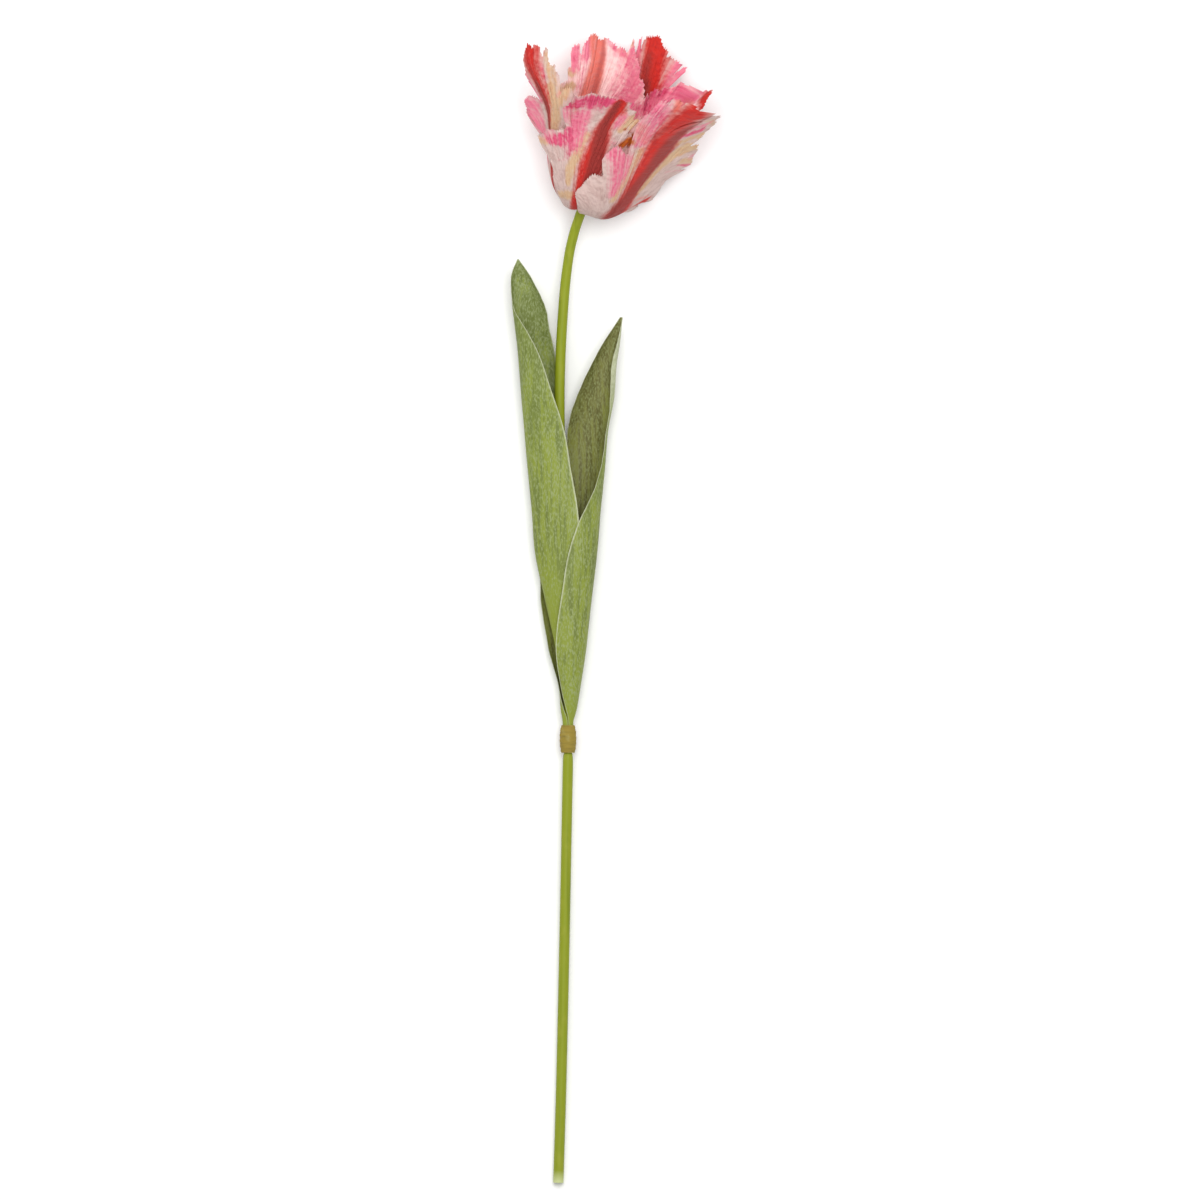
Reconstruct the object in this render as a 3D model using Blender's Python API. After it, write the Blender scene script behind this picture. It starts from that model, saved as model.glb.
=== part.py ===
"""A cut parrot tulip, lying on a flat surface as if laid down on a table.

It has one stem with a cut lower end, a wrap round the stem where the leaves start, two long
channelled leaves, and a bloom of six ragged petals round a pistil and six stamens.

Metres. +Y runs up the stem to the bloom, +Z is up from the surface, and the origin is the
middle of the outline at the height of the surface.
"""

import math

import bmesh
import bpy
import numpy as np
from mathutils import Vector

MM = 0.001

# Driving sizes
PETAL_THICKNESS = 0.8 * MM
LEAF_THICKNESS = 0.8 * MM
WRAP_LENGTH = 16.5 * MM

# The middle of the drawing below, which becomes the part's origin
MIDDLE = Vector((1.52, 0.87, 0)) * MM

# The middle of the stem from the cut end to the bloom: x, y, z and radius
STEM_LINE = [
    (-33.4, -344.2, 2.85, 3.1),
    (-31.6, -283.0, 3.9, 3.1),
    (-29.6, -193.0, 5.6, 3.1),
    (-28.2, -120.0, 7.1, 3.1),
    (-27.7, -94.0, 7.7, 3.1),
    (-27.6, -88.0, 7.8, 2.8),
    (-27.6, -84.0, 7.9, 2.2),
    (-27.6, -66.0, 8.3, 2.2),
    (-27.9, -48.0, 8.7, 2.5),
    (-28.8, -20.0, 9.3, 3.0),
    (-31.0, 41.0, 10.6, 3.1),
    (-32.6, 107.0, 12.0, 3.1),
    (-32.3, 146.0, 12.7, 3.05),
    (-30.1, 185.0, 14.4, 3.0),
    (-27.5, 209.0, 16.5, 2.9),
    (-24.4, 224.0, 18.7, 2.9),
    (-20.9, 235.0, 21.4, 2.9),
    (-18.7, 240.6, 23.2, 3.1),
    (-17.9, 243.4, 24.2, 3.9),
    (-17.4, 244.9, 24.8, 3.5),
    (-17.2, 245.6, 25.1, 2.3),
]
STEM_SIDES = 12

# The bloom stands on the end of the stem, leaning to the right and lifted from the surface
BLOOM_BASE = Vector((-18.0, 242.8, 24.0)) * MM
BLOOM_LEAN = math.radians(14)
BLOOM_LIFT = math.radians(20)


def bloom_axes():
    """The bloom's own directions: along its axis, towards its top side, and to its right."""
    along = Vector(
        (
            math.sin(BLOOM_LEAN) * math.cos(BLOOM_LIFT),
            math.cos(BLOOM_LEAN) * math.cos(BLOOM_LIFT),
            math.sin(BLOOM_LIFT),
        )
    )
    top = (Vector((0, 0, 1)) - along * along.z).normalized()
    return np.array(along), np.array(top), np.array(along.cross(top))


# Petals. A petal is a fan of veins that start at its narrow foot and end on its margin. Place
# s on the margin runs from -1, low on the left seen from outside, over the tip at 0, to 1, low
# on the right. A cut shortens the veins round its place s, so that the margin is ragged.
PETAL_VEINS = 40
PETAL_ROWS = 8
MARGIN_SWEEP = 0.95 * math.pi
FOOT_HALF_WIDTH = 1.8 * MM
LAYER_STEP = 1.6 * MM

# All petals lie in layers on one cup, whose side follows the midribs. foot, azimuth: degrees
# round the bloom's axis from its top side, at the foot and further up. midrib: distance from
# the axis and height along it, in mm. shift: how far the midrib strays sideways, at even steps
# from foot to tip. layer: 1 where the left or right side lies over its neighbour, -1 where it
# lies under it. left, right: half widths laid flat. square: how broad the top is. lift: how far
# the left and right margins leave the cup. flare: the same for the upper margins only. twist:
# turn about the midrib from halfway to the tip. cuts: place, depth as a share, half width.
PETALS = {
    "petal_front_right": dict(
        foot=49, azimuth=58,
        midrib=[(4.8, 0.2), (12, -1.6), (20, 3), (27, 14), (35, 37), (45, 61), (57, 79), (69, 93)],
        shift=(0, 0, 0, 0), layer=(1, 2), left=39, right=38, widest=0.38, square=(0.25, 0.6),
        lift=(0, 30), flare=(-5, -26), twist=0, ruffle=1.3, waves=4.5, phase=0.3, teeth=0.05,
        cuts=[(-0.75, 0.1, 0.06), (-0.55, 0.16, 0.06), (-0.4, 0.2, 0.06), (-0.2, 0.06, 0.06),
              (0.1, 0.14, 0.06), (0.25, 0.22, 0.06), (0.45, 0.24, 0.06), (0.65, 0.22, 0.06)],
    ),
    "petal_front_left": dict(
        foot=-16, azimuth=-5,
        midrib=[(4.8, 0.4), (13, 0.5), (23, 9), (30, 24), (34, 40), (37, 56), (43, 74), (51, 90)],
        shift=(0, -1, 0, 3, 9), layer=(1, -1), left=38, right=27, widest=0.46, square=(0.9, 1.2),
        lift=(4, -1), flare=(-1, 0), twist=0, ruffle=1.2, waves=4.5, phase=1.4, teeth=0.04,
        cuts=[(-0.8, 0.15, 0.06), (-0.6, 0.14, 0.06), (-0.4, 0.2, 0.06), (-0.1, 0.08, 0.06),
              (0.15, 0.1, 0.06), (0.35, 0.3, 0.06), (0.55, 0.2, 0.06)],
    ),
    "petal_left": dict(
        foot=-76, azimuth=-68,
        midrib=[(4.8, 0.3), (12.5, 0.4), (19.5, 9), (26, 25), (31.5, 42), (37, 58), (45, 71), (54, 84),
                (58, 97)],
        shift=(0, 0, 0, -4), layer=(1, -1), left=25, right=26, widest=0.46, square=(1.1, 1.0),
        lift=(2, -2), flare=(2, 0), twist=-35, ruffle=1.2, waves=4, phase=0.5, teeth=0.05,
        cuts=[(-0.65, 0.2, 0.06), (-0.25, 0.55, 0.12), (0.1, 0.16, 0.06), (0.35, 0.5, 0.1),
              (0.2, 0.16, 0.06), (0.7, 0.2, 0.06)],
    ),
    "petal_back_left": dict(
        foot=-136, azimuth=-152,
        midrib=[(4.8, 0.4), (11, 0.6), (19, 5), (26, 17), (28, 34), (28.5, 55), (31, 74), (39, 96)],
        shift=(0, 0, 0, -5), layer=(-0.6, -1), left=39, right=26, widest=0.5, square=(0.72, 0.7),
        lift=(-0.5, -0.5), flare=(2, 2), twist=0, ruffle=1.2, waves=4, phase=2.0, teeth=0.04,
        cuts=[(-0.65, 0.06, 0.06), (-0.45, 0.05, 0.06), (-0.3, 0.12, 0.06), (-0.1, 0.05, 0.06),
              (0.15, 0.18, 0.06), (0.3, 0.08, 0.06), (0.4, 0.12, 0.06), (0.7, 0.12, 0.06)],
    ),
    "petal_back_right": dict(
        foot=164, azimuth=152,
        midrib=[(4.8, 0.2), (12, -2.0), (21, 1.5), (30, 12), (35, 28), (37, 46), (37.5, 66),
                (36, 86), (36, 104)],
        shift=(0, 0, 0, 0), layer=(1, 1), left=25, right=28, widest=0.48, square=(0.8, 1.0),
        lift=(1, 1), flare=(1, 3), twist=0, ruffle=1.3, waves=4, phase=1.0, teeth=0.04,
        cuts=[(-0.7, 0.2, 0.06), (-0.45, 0.2, 0.06), (-0.35, 0.16, 0.06), (-0.2, 0.24, 0.06),
              (0.15, 0.1, 0.06), (0.45, 0.2, 0.06), (0.7, 0.15, 0.06)],
    ),
    "petal_right": dict(
        foot=109, azimuth=110,
        midrib=[(4.8, 0.4), (11, 0.8), (19, 6), (27, 20), (33, 40), (41, 58), (50, 69), (60, 79)],
        shift=(0, 0, 0, 0), layer=(-1, -2), left=30, right=34, widest=0.5, square=(0.5, 0.22),
        lift=(-1, 0), flare=(0, 0), twist=0, ruffle=1.2, waves=5, phase=0.0, teeth=0.04,
        cuts=[(-0.7, 0.2, 0.06), (-0.45, 0.2, 0.06), (-0.25, 0.16, 0.06), (-0.1, 0.08, 0.06),
              (0.1, 0.08, 0.06), (0.3, 0.05, 0.06), (0.5, 0.12, 0.06), (0.7, 0.2, 0.06)],
    ),
}

# Leaves. At each station the leaf is part of an ellipse round the stem: y, the ellipse's centre
# x, its centre's height over the stem's middle, its half width and half depth, and the angles
# of the far and the near margin, in degrees from +X towards +Z.
LEAVES = {
    "leaf_left": [
        (-40, -28.2, 0.0, 3.7, 3.7, 315, 45),
        (-22, -28.6, 0.2, 6.5, 5.2, 310, 50),
        (5, -29.0, 0.4, 12.0, 7.0, 300, 60),
        (33, -28.0, 0.4, 19.0, 8.6, 290, 70),
        (58, -26.0, 0.4, 23.0, 9.6, 280, 79),
        (84, -28.0, 0.3, 23.5, 9.6, 270, 85),
        (107, -31.0, 0.2, 22.5, 10.4, 268, 87),
        (130, -36.5, 0.2, 19.0, 12.4, 282, 92),
        (155, -43.0, 0.8, 14.5, 10.8, 300, 102),
        (172, -48.0, 2.0, 11.5, 8.0, 318, 130),
        (184, -51.5, 3.0, 9.5, 6.4, 345, 172),
        (196, -55.0, 3.6, 7.0, 4.4, 352, 182),
        (204, -56.6, 4.0, 4.0, 2.2, 356, 184),
        (208.5, -57.2, 4.4, 1.2, 0.7, 358, 182),
    ],
    "leaf_right": [
        (-80, -27.6, 0.0, 2.95, 2.95, -262, 78),
        (-68, -27.6, 0.0, 2.95, 2.95, -262, 82),
        (-60, -27.2, 0.2, 4.6, 4.4, -230, 110),
        (-47, -26.8, 0.4, 6.4, 6.0, -182, 142),
        (-24, -28.2, 0.6, 11.2, 8.4, -168, 126),
        (5, -29.2, 0.6, 15.4, 9.9, -160, 100),
        (33, -29.0, 0.5, 18.6, 10.9, -145, 85),
        (58, -28.8, 0.5, 20.4, 11.4, -127, 60),
        (84, -22.0, 0.4, 16.2, 11.4, -108, 30),
        (107, -16.8, 0.6, 13.0, 10.4, -150, 6),
        (127, -11.4, 1.4, 11.2, 7.6, -168, 6),
        (146, -6.4, 2.4, 7.6, 5.0, -174, 22),
        (160, -1.4, 3.4, 4.8, 3.2, -176, 30),
        (170, 2.4, 4.2, 2.0, 1.4, -177, 20),
        (175, 4.4, 4.6, 0.7, 0.6, -178, 8),
    ],
}
LEAF_COLUMNS = 12
LEAF_ROWS = 34

# Pistil and stamens, in the bloom's own directions
PISTIL_PROFILE = [
    (1.7, 3.4), (2.1, 6), (3.0, 10), (3.4, 15), (3.2, 20), (2.6, 24), (2.8, 25.5), (4.0, 27.5),
    (3.2, 29.3), (1.2, 30),
]
PISTIL_SIDES = 18
PISTIL_LOBES = 3
STAMEN_COUNT = 6
STAMEN_FOOT = 3.2 * MM
STAMEN_PROFILE = [
    (0.0, 3.5, 0.75),
    (1.3, 8.0, 0.85),
    (2.4, 13.0, 0.7),
    (2.8, 14.6, 0.6),
    (3.0, 15.4, 1.3),
    (3.6, 18.5, 1.55),
    (4.2, 22.0, 1.45),
    (4.6, 24.6, 1.1),
    (4.8, 25.6, 0.5),
]


def clear_scene():
    for old in list(bpy.data.objects):
        bpy.data.objects.remove(old)


def finish(name, colour, roughness):
    """A plain material of this colour."""
    material = bpy.data.materials.new(name)
    material.use_nodes = True
    shader = material.node_tree.nodes["Principled BSDF"]
    shader.inputs["Base Color"].default_value = (*colour, 1)
    shader.inputs["Roughness"].default_value = roughness
    return material


def smooth_line(points, steps):
    """Points of a smooth curve through the given ones, steps to a span: rows of any width."""
    p = np.array(points, float)
    p = np.vstack([2 * p[0] - p[1], p, 2 * p[-1] - p[-2]])
    rows = []
    for a, b, c, d in zip(p, p[1:], p[2:], p[3:]):
        for t in np.arange(steps) / steps:
            bend = (2 * a - 5 * b + 4 * c - d) * t**2 + (3 * b - a - 3 * c + d) * t**3
            rows.append(b + 0.5 * ((c - a) * t + bend))
    return np.array([*rows, p[-2]])


def line_at(line, distances):
    """The points of a line at these distances from its start, and straight on past its end."""
    steps = np.linalg.norm(np.diff(line, axis=0), axis=1)
    travelled = np.concatenate([[0], np.cumsum(steps)])
    beyond = np.maximum(distances - travelled[-1], 0)[..., None]
    end = (line[-1] - line[-2]) / steps[-1]
    return np.stack([np.interp(distances, travelled, c) for c in line.T], axis=-1) + beyond * end


def ease(x):
    """Rises smoothly from 0 to 1."""
    x = np.clip(x, 0, 1)
    return x * x * (3 - 2 * x)


def triangle_wave(x):
    """Runs between 0 and 1, 1 at whole numbers and 0 halfway between them."""
    return 2 * np.abs(x - np.floor(x) - 0.5)


def cup_side(azimuth, distance):
    """Distance from the axis and height of the cup, this far up its side from the foot."""
    petals = sorted(PETALS.values(), key=lambda petal: petal["azimuth"])
    nodes = np.radians([petal["azimuth"] for petal in petals])
    turn = (azimuth - nodes[0]) % (2 * math.pi) + nodes[0]
    nodes = np.append(nodes, nodes[0] + 2 * math.pi)
    place = np.zeros((*np.shape(turn), 2))
    for k, petal in enumerate(petals + petals[:1]):
        near, here, far = nodes[max(k - 1, 0)], nodes[k], nodes[min(k + 1, len(petals))]
        weight = np.where(turn < here, ease((turn - near) / max(here - near, 1e-9)), 0)
        weight = np.where(turn >= here, ease((far - turn) / max(far - here, 1e-9)), weight)
        place += weight[..., None] * line_at(smooth_line(petal["midrib"], 8) * MM, distance)
    return place


def petal_flat(petal, length, s, t):
    """Flat place of a point on a vein: across the midrib and along it from the foot."""
    half_width = np.where(s < 0, petal["left"], petal["right"]) * MM
    turn = np.abs(s) * MARGIN_SWEEP
    widest = petal["widest"] * length
    low = turn > math.pi / 2
    square = np.take(petal["square"], np.where(s < 0, 0, 1))
    margin_x = np.sign(s) * half_width * np.sin(turn) ** np.where(low, 2, square)
    margin_y = widest + np.where(low, widest, length - widest) * np.cos(turn)
    foot_x = s * FOOT_HALF_WIDTH
    across = foot_x * (1 - t) ** 2 + 0.9 * margin_x * t * (1 - t) + margin_x * t**2
    along = 1.1 * margin_y * t * (1 - t) + margin_y * t**2
    return across, along


def vein_reach(petal, s):
    """How far along each vein the petal still has tissue: less in the cuts and between teeth."""
    reach = 1 - petal["teeth"] * triangle_wave(s * PETAL_VEINS / 4)
    for place, depth, half_width in petal["cuts"]:
        reach = reach * (1 - depth * np.clip(1 - np.abs(s - place) / half_width, 0, 1))
    return reach


def petal_surface(petal, s, t):
    """Where points of a petal lie in space."""
    midrib = smooth_line(petal["midrib"], 8) * MM
    length = np.linalg.norm(np.diff(midrib, axis=0), axis=1).sum()
    across, along = petal_flat(petal, length, s, t * vein_reach(petal, s))
    share = along / length
    span = across / np.where(s < 0, petal["left"], petal["right"]) / MM

    from_axis = line_at(midrib, along)[..., 0]
    drift = (petal["azimuth"] - petal["foot"]) * ease(along / (20 * MM))
    shift = np.interp(share, np.linspace(0, 1, len(petal["shift"])), petal["shift"]) * MM
    twist = np.radians(petal["twist"]) * ease(2 * share - 1)
    middle = np.radians(petal["foot"] + drift) + shift / from_axis
    azimuth = middle + across * np.cos(twist) / from_axis

    left, right = petal["layer"]
    layer = left + (right - left) * ease(0.5 + across / from_axis / math.radians(50))
    side = np.where(s < 0, 0, 1)
    lift = np.take(petal["lift"], side) * np.interp(share, [0.02, 0.15], [0, 1]) * MM
    flare = np.take(petal["flare"], side) * np.interp(share, [0.5, 1], [0, 1]) * MM
    wave = layer + np.sin(2 * math.pi * petal["waves"] * s + petal["phase"])
    ruffle = petal["ruffle"] * MM * t**3 * np.interp(share, [0.1, 0.6], [0.1, 1])
    out = LAYER_STEP * layer * ease(along / (9 * MM)) + (lift + flare) * span**2
    out = out + ruffle * wave + across * np.sin(twist)

    place = cup_side(azimuth, along)
    ahead = cup_side(azimuth, along + 0.5 * MM) - cup_side(azimuth, along - 0.5 * MM)
    ahead /= np.linalg.norm(ahead, axis=-1, keepdims=True)
    from_axis = place[..., 0] + out * ahead[..., 1]
    height = place[..., 1] - out * ahead[..., 0]
    return to_bloom(from_axis * np.cos(azimuth), from_axis * np.sin(azimuth), height)


def to_bloom(across, sideways, height):
    """A place given in the bloom's own directions."""
    place = np.array(BLOOM_BASE)
    for amount, direction in zip((height, across, sideways), bloom_axes()):
        place = place + np.asarray(amount)[..., None] * direction
    return place


def sheet(name, surface, thickness, material):
    """A solid sheet of even thickness whose middle is a grid of points, split alike on both faces."""
    rows, columns = surface.shape[:2]
    shape = bmesh.new()
    corners = [[shape.verts.new(p) for p in row] for row in surface]
    for j in range(rows - 1):
        for i in range(columns - 1):
            a, b = corners[j][i], corners[j][i + 1]
            c, d = corners[j + 1][i + 1], corners[j + 1][i]
            if i < columns / 2:
                shape.faces.new((a, b, c))
                shape.faces.new((a, c, d))
            else:
                shape.faces.new((a, b, d))
                shape.faces.new((b, c, d))
    mesh = bpy.data.meshes.new(name)
    shape.to_mesh(mesh)
    shape.free()
    obj = bpy.data.objects.new(name, mesh)
    bpy.context.scene.collection.objects.link(obj)
    mesh.materials.append(material)
    wall = obj.modifiers.new("wall", "SOLIDIFY")
    wall.thickness = thickness
    wall.offset = 0
    wall.use_even_offset = False
    return obj


def press_on_surface(obj, ground):
    """Cuts away what reaches below the surface, which leaves a small flat spot to rest on."""
    cut = obj.modifiers.new("flat spot", "BOOLEAN")
    cut.object = ground
    cut.operation = "DIFFERENCE"


def make_ground():
    """A block under the surface, used only as a cutter."""
    mesh = bpy.data.meshes.new("ground")
    shape = bmesh.new()
    bmesh.ops.create_cube(shape, size=1)
    for v in shape.verts:
        v.co.z -= 0.5
    shape.to_mesh(mesh)
    shape.free()
    ground = bpy.data.objects.new("ground", mesh)
    bpy.context.scene.collection.objects.link(ground)
    ground.hide_render = True
    ground.display_type = "WIRE"
    return ground


def round_bar(name, line, sides, material):
    """A solid round bar along rows of x, y, z and radius."""
    curve = bpy.data.curves.new(name, "CURVE")
    curve.dimensions = "3D"
    curve.bevel_depth = 1 * MM
    curve.bevel_resolution = sides // 2 - 2
    curve.use_fill_caps = True
    path = curve.splines.new("POLY")
    path.points.add(len(line) - 1)
    for point, (x, y, z, radius) in zip(path.points, line):
        point.co = (x, y, z, 1)
        point.radius = radius / MM
    obj = bpy.data.objects.new(name, curve)
    bpy.context.scene.collection.objects.link(obj)
    curve.materials.append(material)
    return obj


def make_stem(material, ground):
    line = smooth_line(STEM_LINE, 2) * MM
    stem = round_bar("stem", line, STEM_SIDES, material)
    graph = bpy.context.evaluated_depsgraph_get()
    mesh = bpy.data.meshes.new_from_object(stem.evaluated_get(graph))
    bpy.data.objects.remove(stem)
    stem = bpy.data.objects.new("stem", mesh)
    bpy.context.scene.collection.objects.link(stem)
    press_on_surface(stem, ground)
    return stem


def make_wrap(material):
    """The barrel-shaped wrap round the foot of the leaves, a short open tube."""
    start, end = Vector((-27.6, -86.2, 7.85)) * MM, Vector((-27.6, -69.7, 8.2)) * MM
    outer = [(0.0, 4.1), (0.15, 4.6), (0.4, 4.9), (0.7, 4.8), (0.9, 4.5), (1.0, 4.3)]
    inner = [(1.0, 3.8), (0.0, 3.7)]
    shape = bmesh.new()
    ring = [shape.verts.new((r * MM, 0, h * WRAP_LENGTH)) for h, r in outer + inner]
    loop = [shape.edges.new((a, b)) for a, b in zip(ring, ring[1:] + ring[:1])]
    bmesh.ops.spin(
        shape,
        geom=ring + loop,
        axis=(0, 0, 1),
        cent=(0, 0, 0),
        angle=2 * math.pi,
        steps=20,
        use_merge=True,
        use_normal_flip=False,
    )
    bmesh.ops.remove_doubles(shape, verts=shape.verts, dist=0.01 * MM)
    bmesh.ops.recalc_face_normals(shape, faces=shape.faces)
    mesh = bpy.data.meshes.new("stem_wrap")
    shape.to_mesh(mesh)
    shape.free()
    wrap = bpy.data.objects.new("stem_wrap", mesh)
    bpy.context.scene.collection.objects.link(wrap)
    mesh.materials.append(material)
    wrap.location = start
    wrap.rotation_mode = "QUATERNION"
    wrap.rotation_quaternion = (end - start).to_track_quat("Z", "Y")
    return wrap


def leaf_surface(stations, rows, columns):
    """A grid of points over a leaf, from its foot to its tip."""
    line = smooth_line(stations, 8)
    place = np.linspace(0, len(line) - 1, rows + 1)
    y, x, z, half_width, half_depth, far, near = (
        np.interp(place, np.arange(len(line)), column)[:, None] for column in line.T
    )
    angle = np.radians(far + (near - far) * np.linspace(0, 1, columns + 1))
    stem_y, stem_z = np.array(STEM_LINE)[:, 1], np.array(STEM_LINE)[:, 2]
    z = z + np.interp(y, stem_y, stem_z)
    grid = [x + half_width * np.cos(angle), y + 0 * angle, z + half_depth * np.sin(angle)]
    return np.stack(grid, axis=-1) * MM


def make_leaf(name, stations, material, ground):
    leaf = sheet(name, leaf_surface(stations, LEAF_ROWS, LEAF_COLUMNS), LEAF_THICKNESS, material)
    press_on_surface(leaf, ground)
    return leaf


def make_petal(name, petal, material, ground):
    s = np.linspace(-1, 1, PETAL_VEINS + 1)[None, :]
    t = (np.arange(PETAL_ROWS + 1) / PETAL_ROWS)[:, None] ** 1.15
    s, t = np.broadcast_arrays(s, t)
    obj = sheet(name, petal_surface(petal, s, t), PETAL_THICKNESS, material)
    press_on_surface(obj, ground)
    return obj


def make_pistil(material):
    """The seed pod, three-sided, with a stigma of three lobes on its end."""
    shape = bmesh.new()
    rings = []
    for radius, height in PISTIL_PROFILE:
        ring = []
        for k in range(PISTIL_SIDES):
            turn = 2 * math.pi * k / PISTIL_SIDES
            spread = 0.3 if height > 24 else 0.1
            r = radius * (1 + spread * math.cos(PISTIL_LOBES * turn)) * MM
            ring.append(
                shape.verts.new(to_bloom(r * math.cos(turn), r * math.sin(turn), height * MM))
            )
        rings.append(ring)
    for low, high in zip(rings, rings[1:]):
        for k in range(PISTIL_SIDES):
            n = (k + 1) % PISTIL_SIDES
            shape.faces.new((low[k], low[n], high[n], high[k]))
    shape.faces.new(rings[0][::-1])
    shape.faces.new(rings[-1])
    bmesh.ops.triangulate(shape, faces=shape.faces)
    bmesh.ops.recalc_face_normals(shape, faces=shape.faces)
    mesh = bpy.data.meshes.new("pistil")
    shape.to_mesh(mesh)
    shape.free()
    pistil = bpy.data.objects.new("pistil", mesh)
    bpy.context.scene.collection.objects.link(pistil)
    mesh.materials.append(material)
    return pistil


def make_stamen(number, material):
    turn = 2 * math.pi * (number - 0.5) / STAMEN_COUNT
    line = []
    for out, height, radius in STAMEN_PROFILE:
        far = STAMEN_FOOT + out * MM
        place = to_bloom(far * math.cos(turn), far * math.sin(turn), height * MM)
        line.append((*place, radius * MM))
    return round_bar(f"stamen_{number}", line, 8, material)


def main():
    clear_scene()
    ground = make_ground()
    green = finish("stem green", (0.30, 0.36, 0.04), 0.5)
    leaf_green = finish("leaf green", (0.24, 0.31, 0.10), 0.6)
    brown = finish("wrap brown", (0.30, 0.22, 0.06), 0.7)
    pink = finish("petal pink", (0.75, 0.22, 0.25), 0.6)
    pale_green = finish("pistil green", (0.45, 0.50, 0.15), 0.5)
    dark = finish("stamen dark", (0.10, 0.05, 0.08), 0.8)
    make_stem(green, ground)
    make_wrap(brown)
    for name, stations in LEAVES.items():
        make_leaf(name, stations, leaf_green, ground)
    for name, petal in PETALS.items():
        make_petal(name, petal, pink, ground)
    make_pistil(pale_green)
    for number in range(1, STAMEN_COUNT + 1):
        make_stamen(number, dark)
    for obj in bpy.data.objects:
        obj.location -= MIDDLE


main()
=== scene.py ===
"""A cut parrot tulip laid on a pale floor, seen from straight above.

The packed solids give every piece its place. Each one is replaced here by a finer piece of the
same form: petals with toothed margins and fine pleats, ribbed leaves, a stem with a cut end, a
wrap of tape, and the pistil and stamens.
"""

import math

import bpy
import numpy as np
from bpy.props import FloatProperty, FloatVectorProperty, IntProperty, PointerProperty
from bpy.types import Operator, Panel, PropertyGroup
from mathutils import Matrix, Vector


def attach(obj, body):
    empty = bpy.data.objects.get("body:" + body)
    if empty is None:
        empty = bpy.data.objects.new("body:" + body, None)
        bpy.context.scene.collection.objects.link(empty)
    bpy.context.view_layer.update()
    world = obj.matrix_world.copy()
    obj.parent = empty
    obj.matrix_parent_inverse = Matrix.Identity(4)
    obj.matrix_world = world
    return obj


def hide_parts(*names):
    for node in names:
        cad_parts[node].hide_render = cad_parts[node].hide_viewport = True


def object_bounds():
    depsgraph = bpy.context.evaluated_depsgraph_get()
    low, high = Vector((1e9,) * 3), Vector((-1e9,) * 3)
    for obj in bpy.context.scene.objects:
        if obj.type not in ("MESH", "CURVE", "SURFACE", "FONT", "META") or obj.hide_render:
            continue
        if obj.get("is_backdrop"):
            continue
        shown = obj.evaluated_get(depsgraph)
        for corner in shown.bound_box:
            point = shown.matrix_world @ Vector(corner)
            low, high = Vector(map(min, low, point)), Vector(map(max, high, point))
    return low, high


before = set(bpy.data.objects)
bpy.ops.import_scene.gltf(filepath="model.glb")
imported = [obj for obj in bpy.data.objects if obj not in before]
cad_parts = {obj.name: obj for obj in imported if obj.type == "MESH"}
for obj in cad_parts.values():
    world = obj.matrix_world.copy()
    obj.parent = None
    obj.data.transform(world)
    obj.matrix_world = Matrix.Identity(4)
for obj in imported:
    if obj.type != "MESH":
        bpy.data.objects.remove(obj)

bl_info = {
    "name": "Parrot tulip",
    "version": (1, 0, 0),
    "blender": (4, 5, 0),
    "location": "3D View > Sidebar > Tulip",
    "description": "Builds a cut parrot tulip: stem, wrap, leaves, petals, pistil and stamens",
    "category": "Add Mesh",
}

MM = 0.001
SOLID_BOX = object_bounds()

# The middle of the drawing, which is the origin of the frame
MIDDLE = np.array((1.52, 0.87, 0)) * MM

# The middle of the stem from the cut end to the bloom: x, y, z and radius, in mm
STEM_LINE = [
    (-33.4, -344.2, 2.85, 3.1), (-31.6, -283, 3.9, 3.1), (-29.6, -193, 5.6, 3.1),
    (-28.2, -120, 7.1, 3.1), (-27.7, -94, 7.7, 3.1), (-27.6, -88, 7.8, 2.8),
    (-27.6, -84, 7.9, 2.2), (-27.6, -66, 8.3, 2.2), (-27.9, -48, 8.7, 2.5),
    (-28.8, -20, 9.3, 3), (-31, 41, 10.6, 3.1), (-32.6, 107, 12, 3.1),
    (-32.3, 146, 12.7, 3.05), (-30.1, 185, 14.4, 3), (-27.5, 209, 16.5, 2.9),
    (-24.4, 224, 18.7, 2.9), (-20.9, 235, 21.4, 2.9), (-18.7, 240.6, 23.2, 3.1),
    (-17.9, 243.4, 24.2, 3.9), (-17.4, 244.9, 24.8, 3.5), (-17.2, 245.6, 25.1, 2.3),
]

# The wrap: its two ends, its length, and its outer and inner outline as share and radius
WRAP_ENDS = [(-27.6, -86.2, 7.85), (-27.6, -69.7, 8.2)]
WRAP_OUTER = [(0, 4), (0.12, 4.5), (0.4, 4.95), (0.7, 4.85), (0.9, 4.35), (1, 3.9)]
WRAP_INNER = [(1, 3.8), (0, 3.7)]

# The bloom stands on the end of the stem, leaning to the right and lifted from the floor
BLOOM_BASE = np.array((-18.0, 242.8, 24.0)) * MM
BLOOM_LEAN = math.radians(14)
BLOOM_LIFT = math.radians(20)

# Petals. A petal is a fan of veins from its narrow foot to its margin. Place s on the margin
# runs from -1, low on the left seen from outside, over the tip at 0, to 1, low on the right.
# Each half of the margin has this many fine teeth.
MARGIN_SWEEP = 0.95 * math.pi
FOOT_HALF_WIDTH = 1.8 * MM
LAYER_STEP = 1.6 * MM
TEETH = 110

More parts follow.
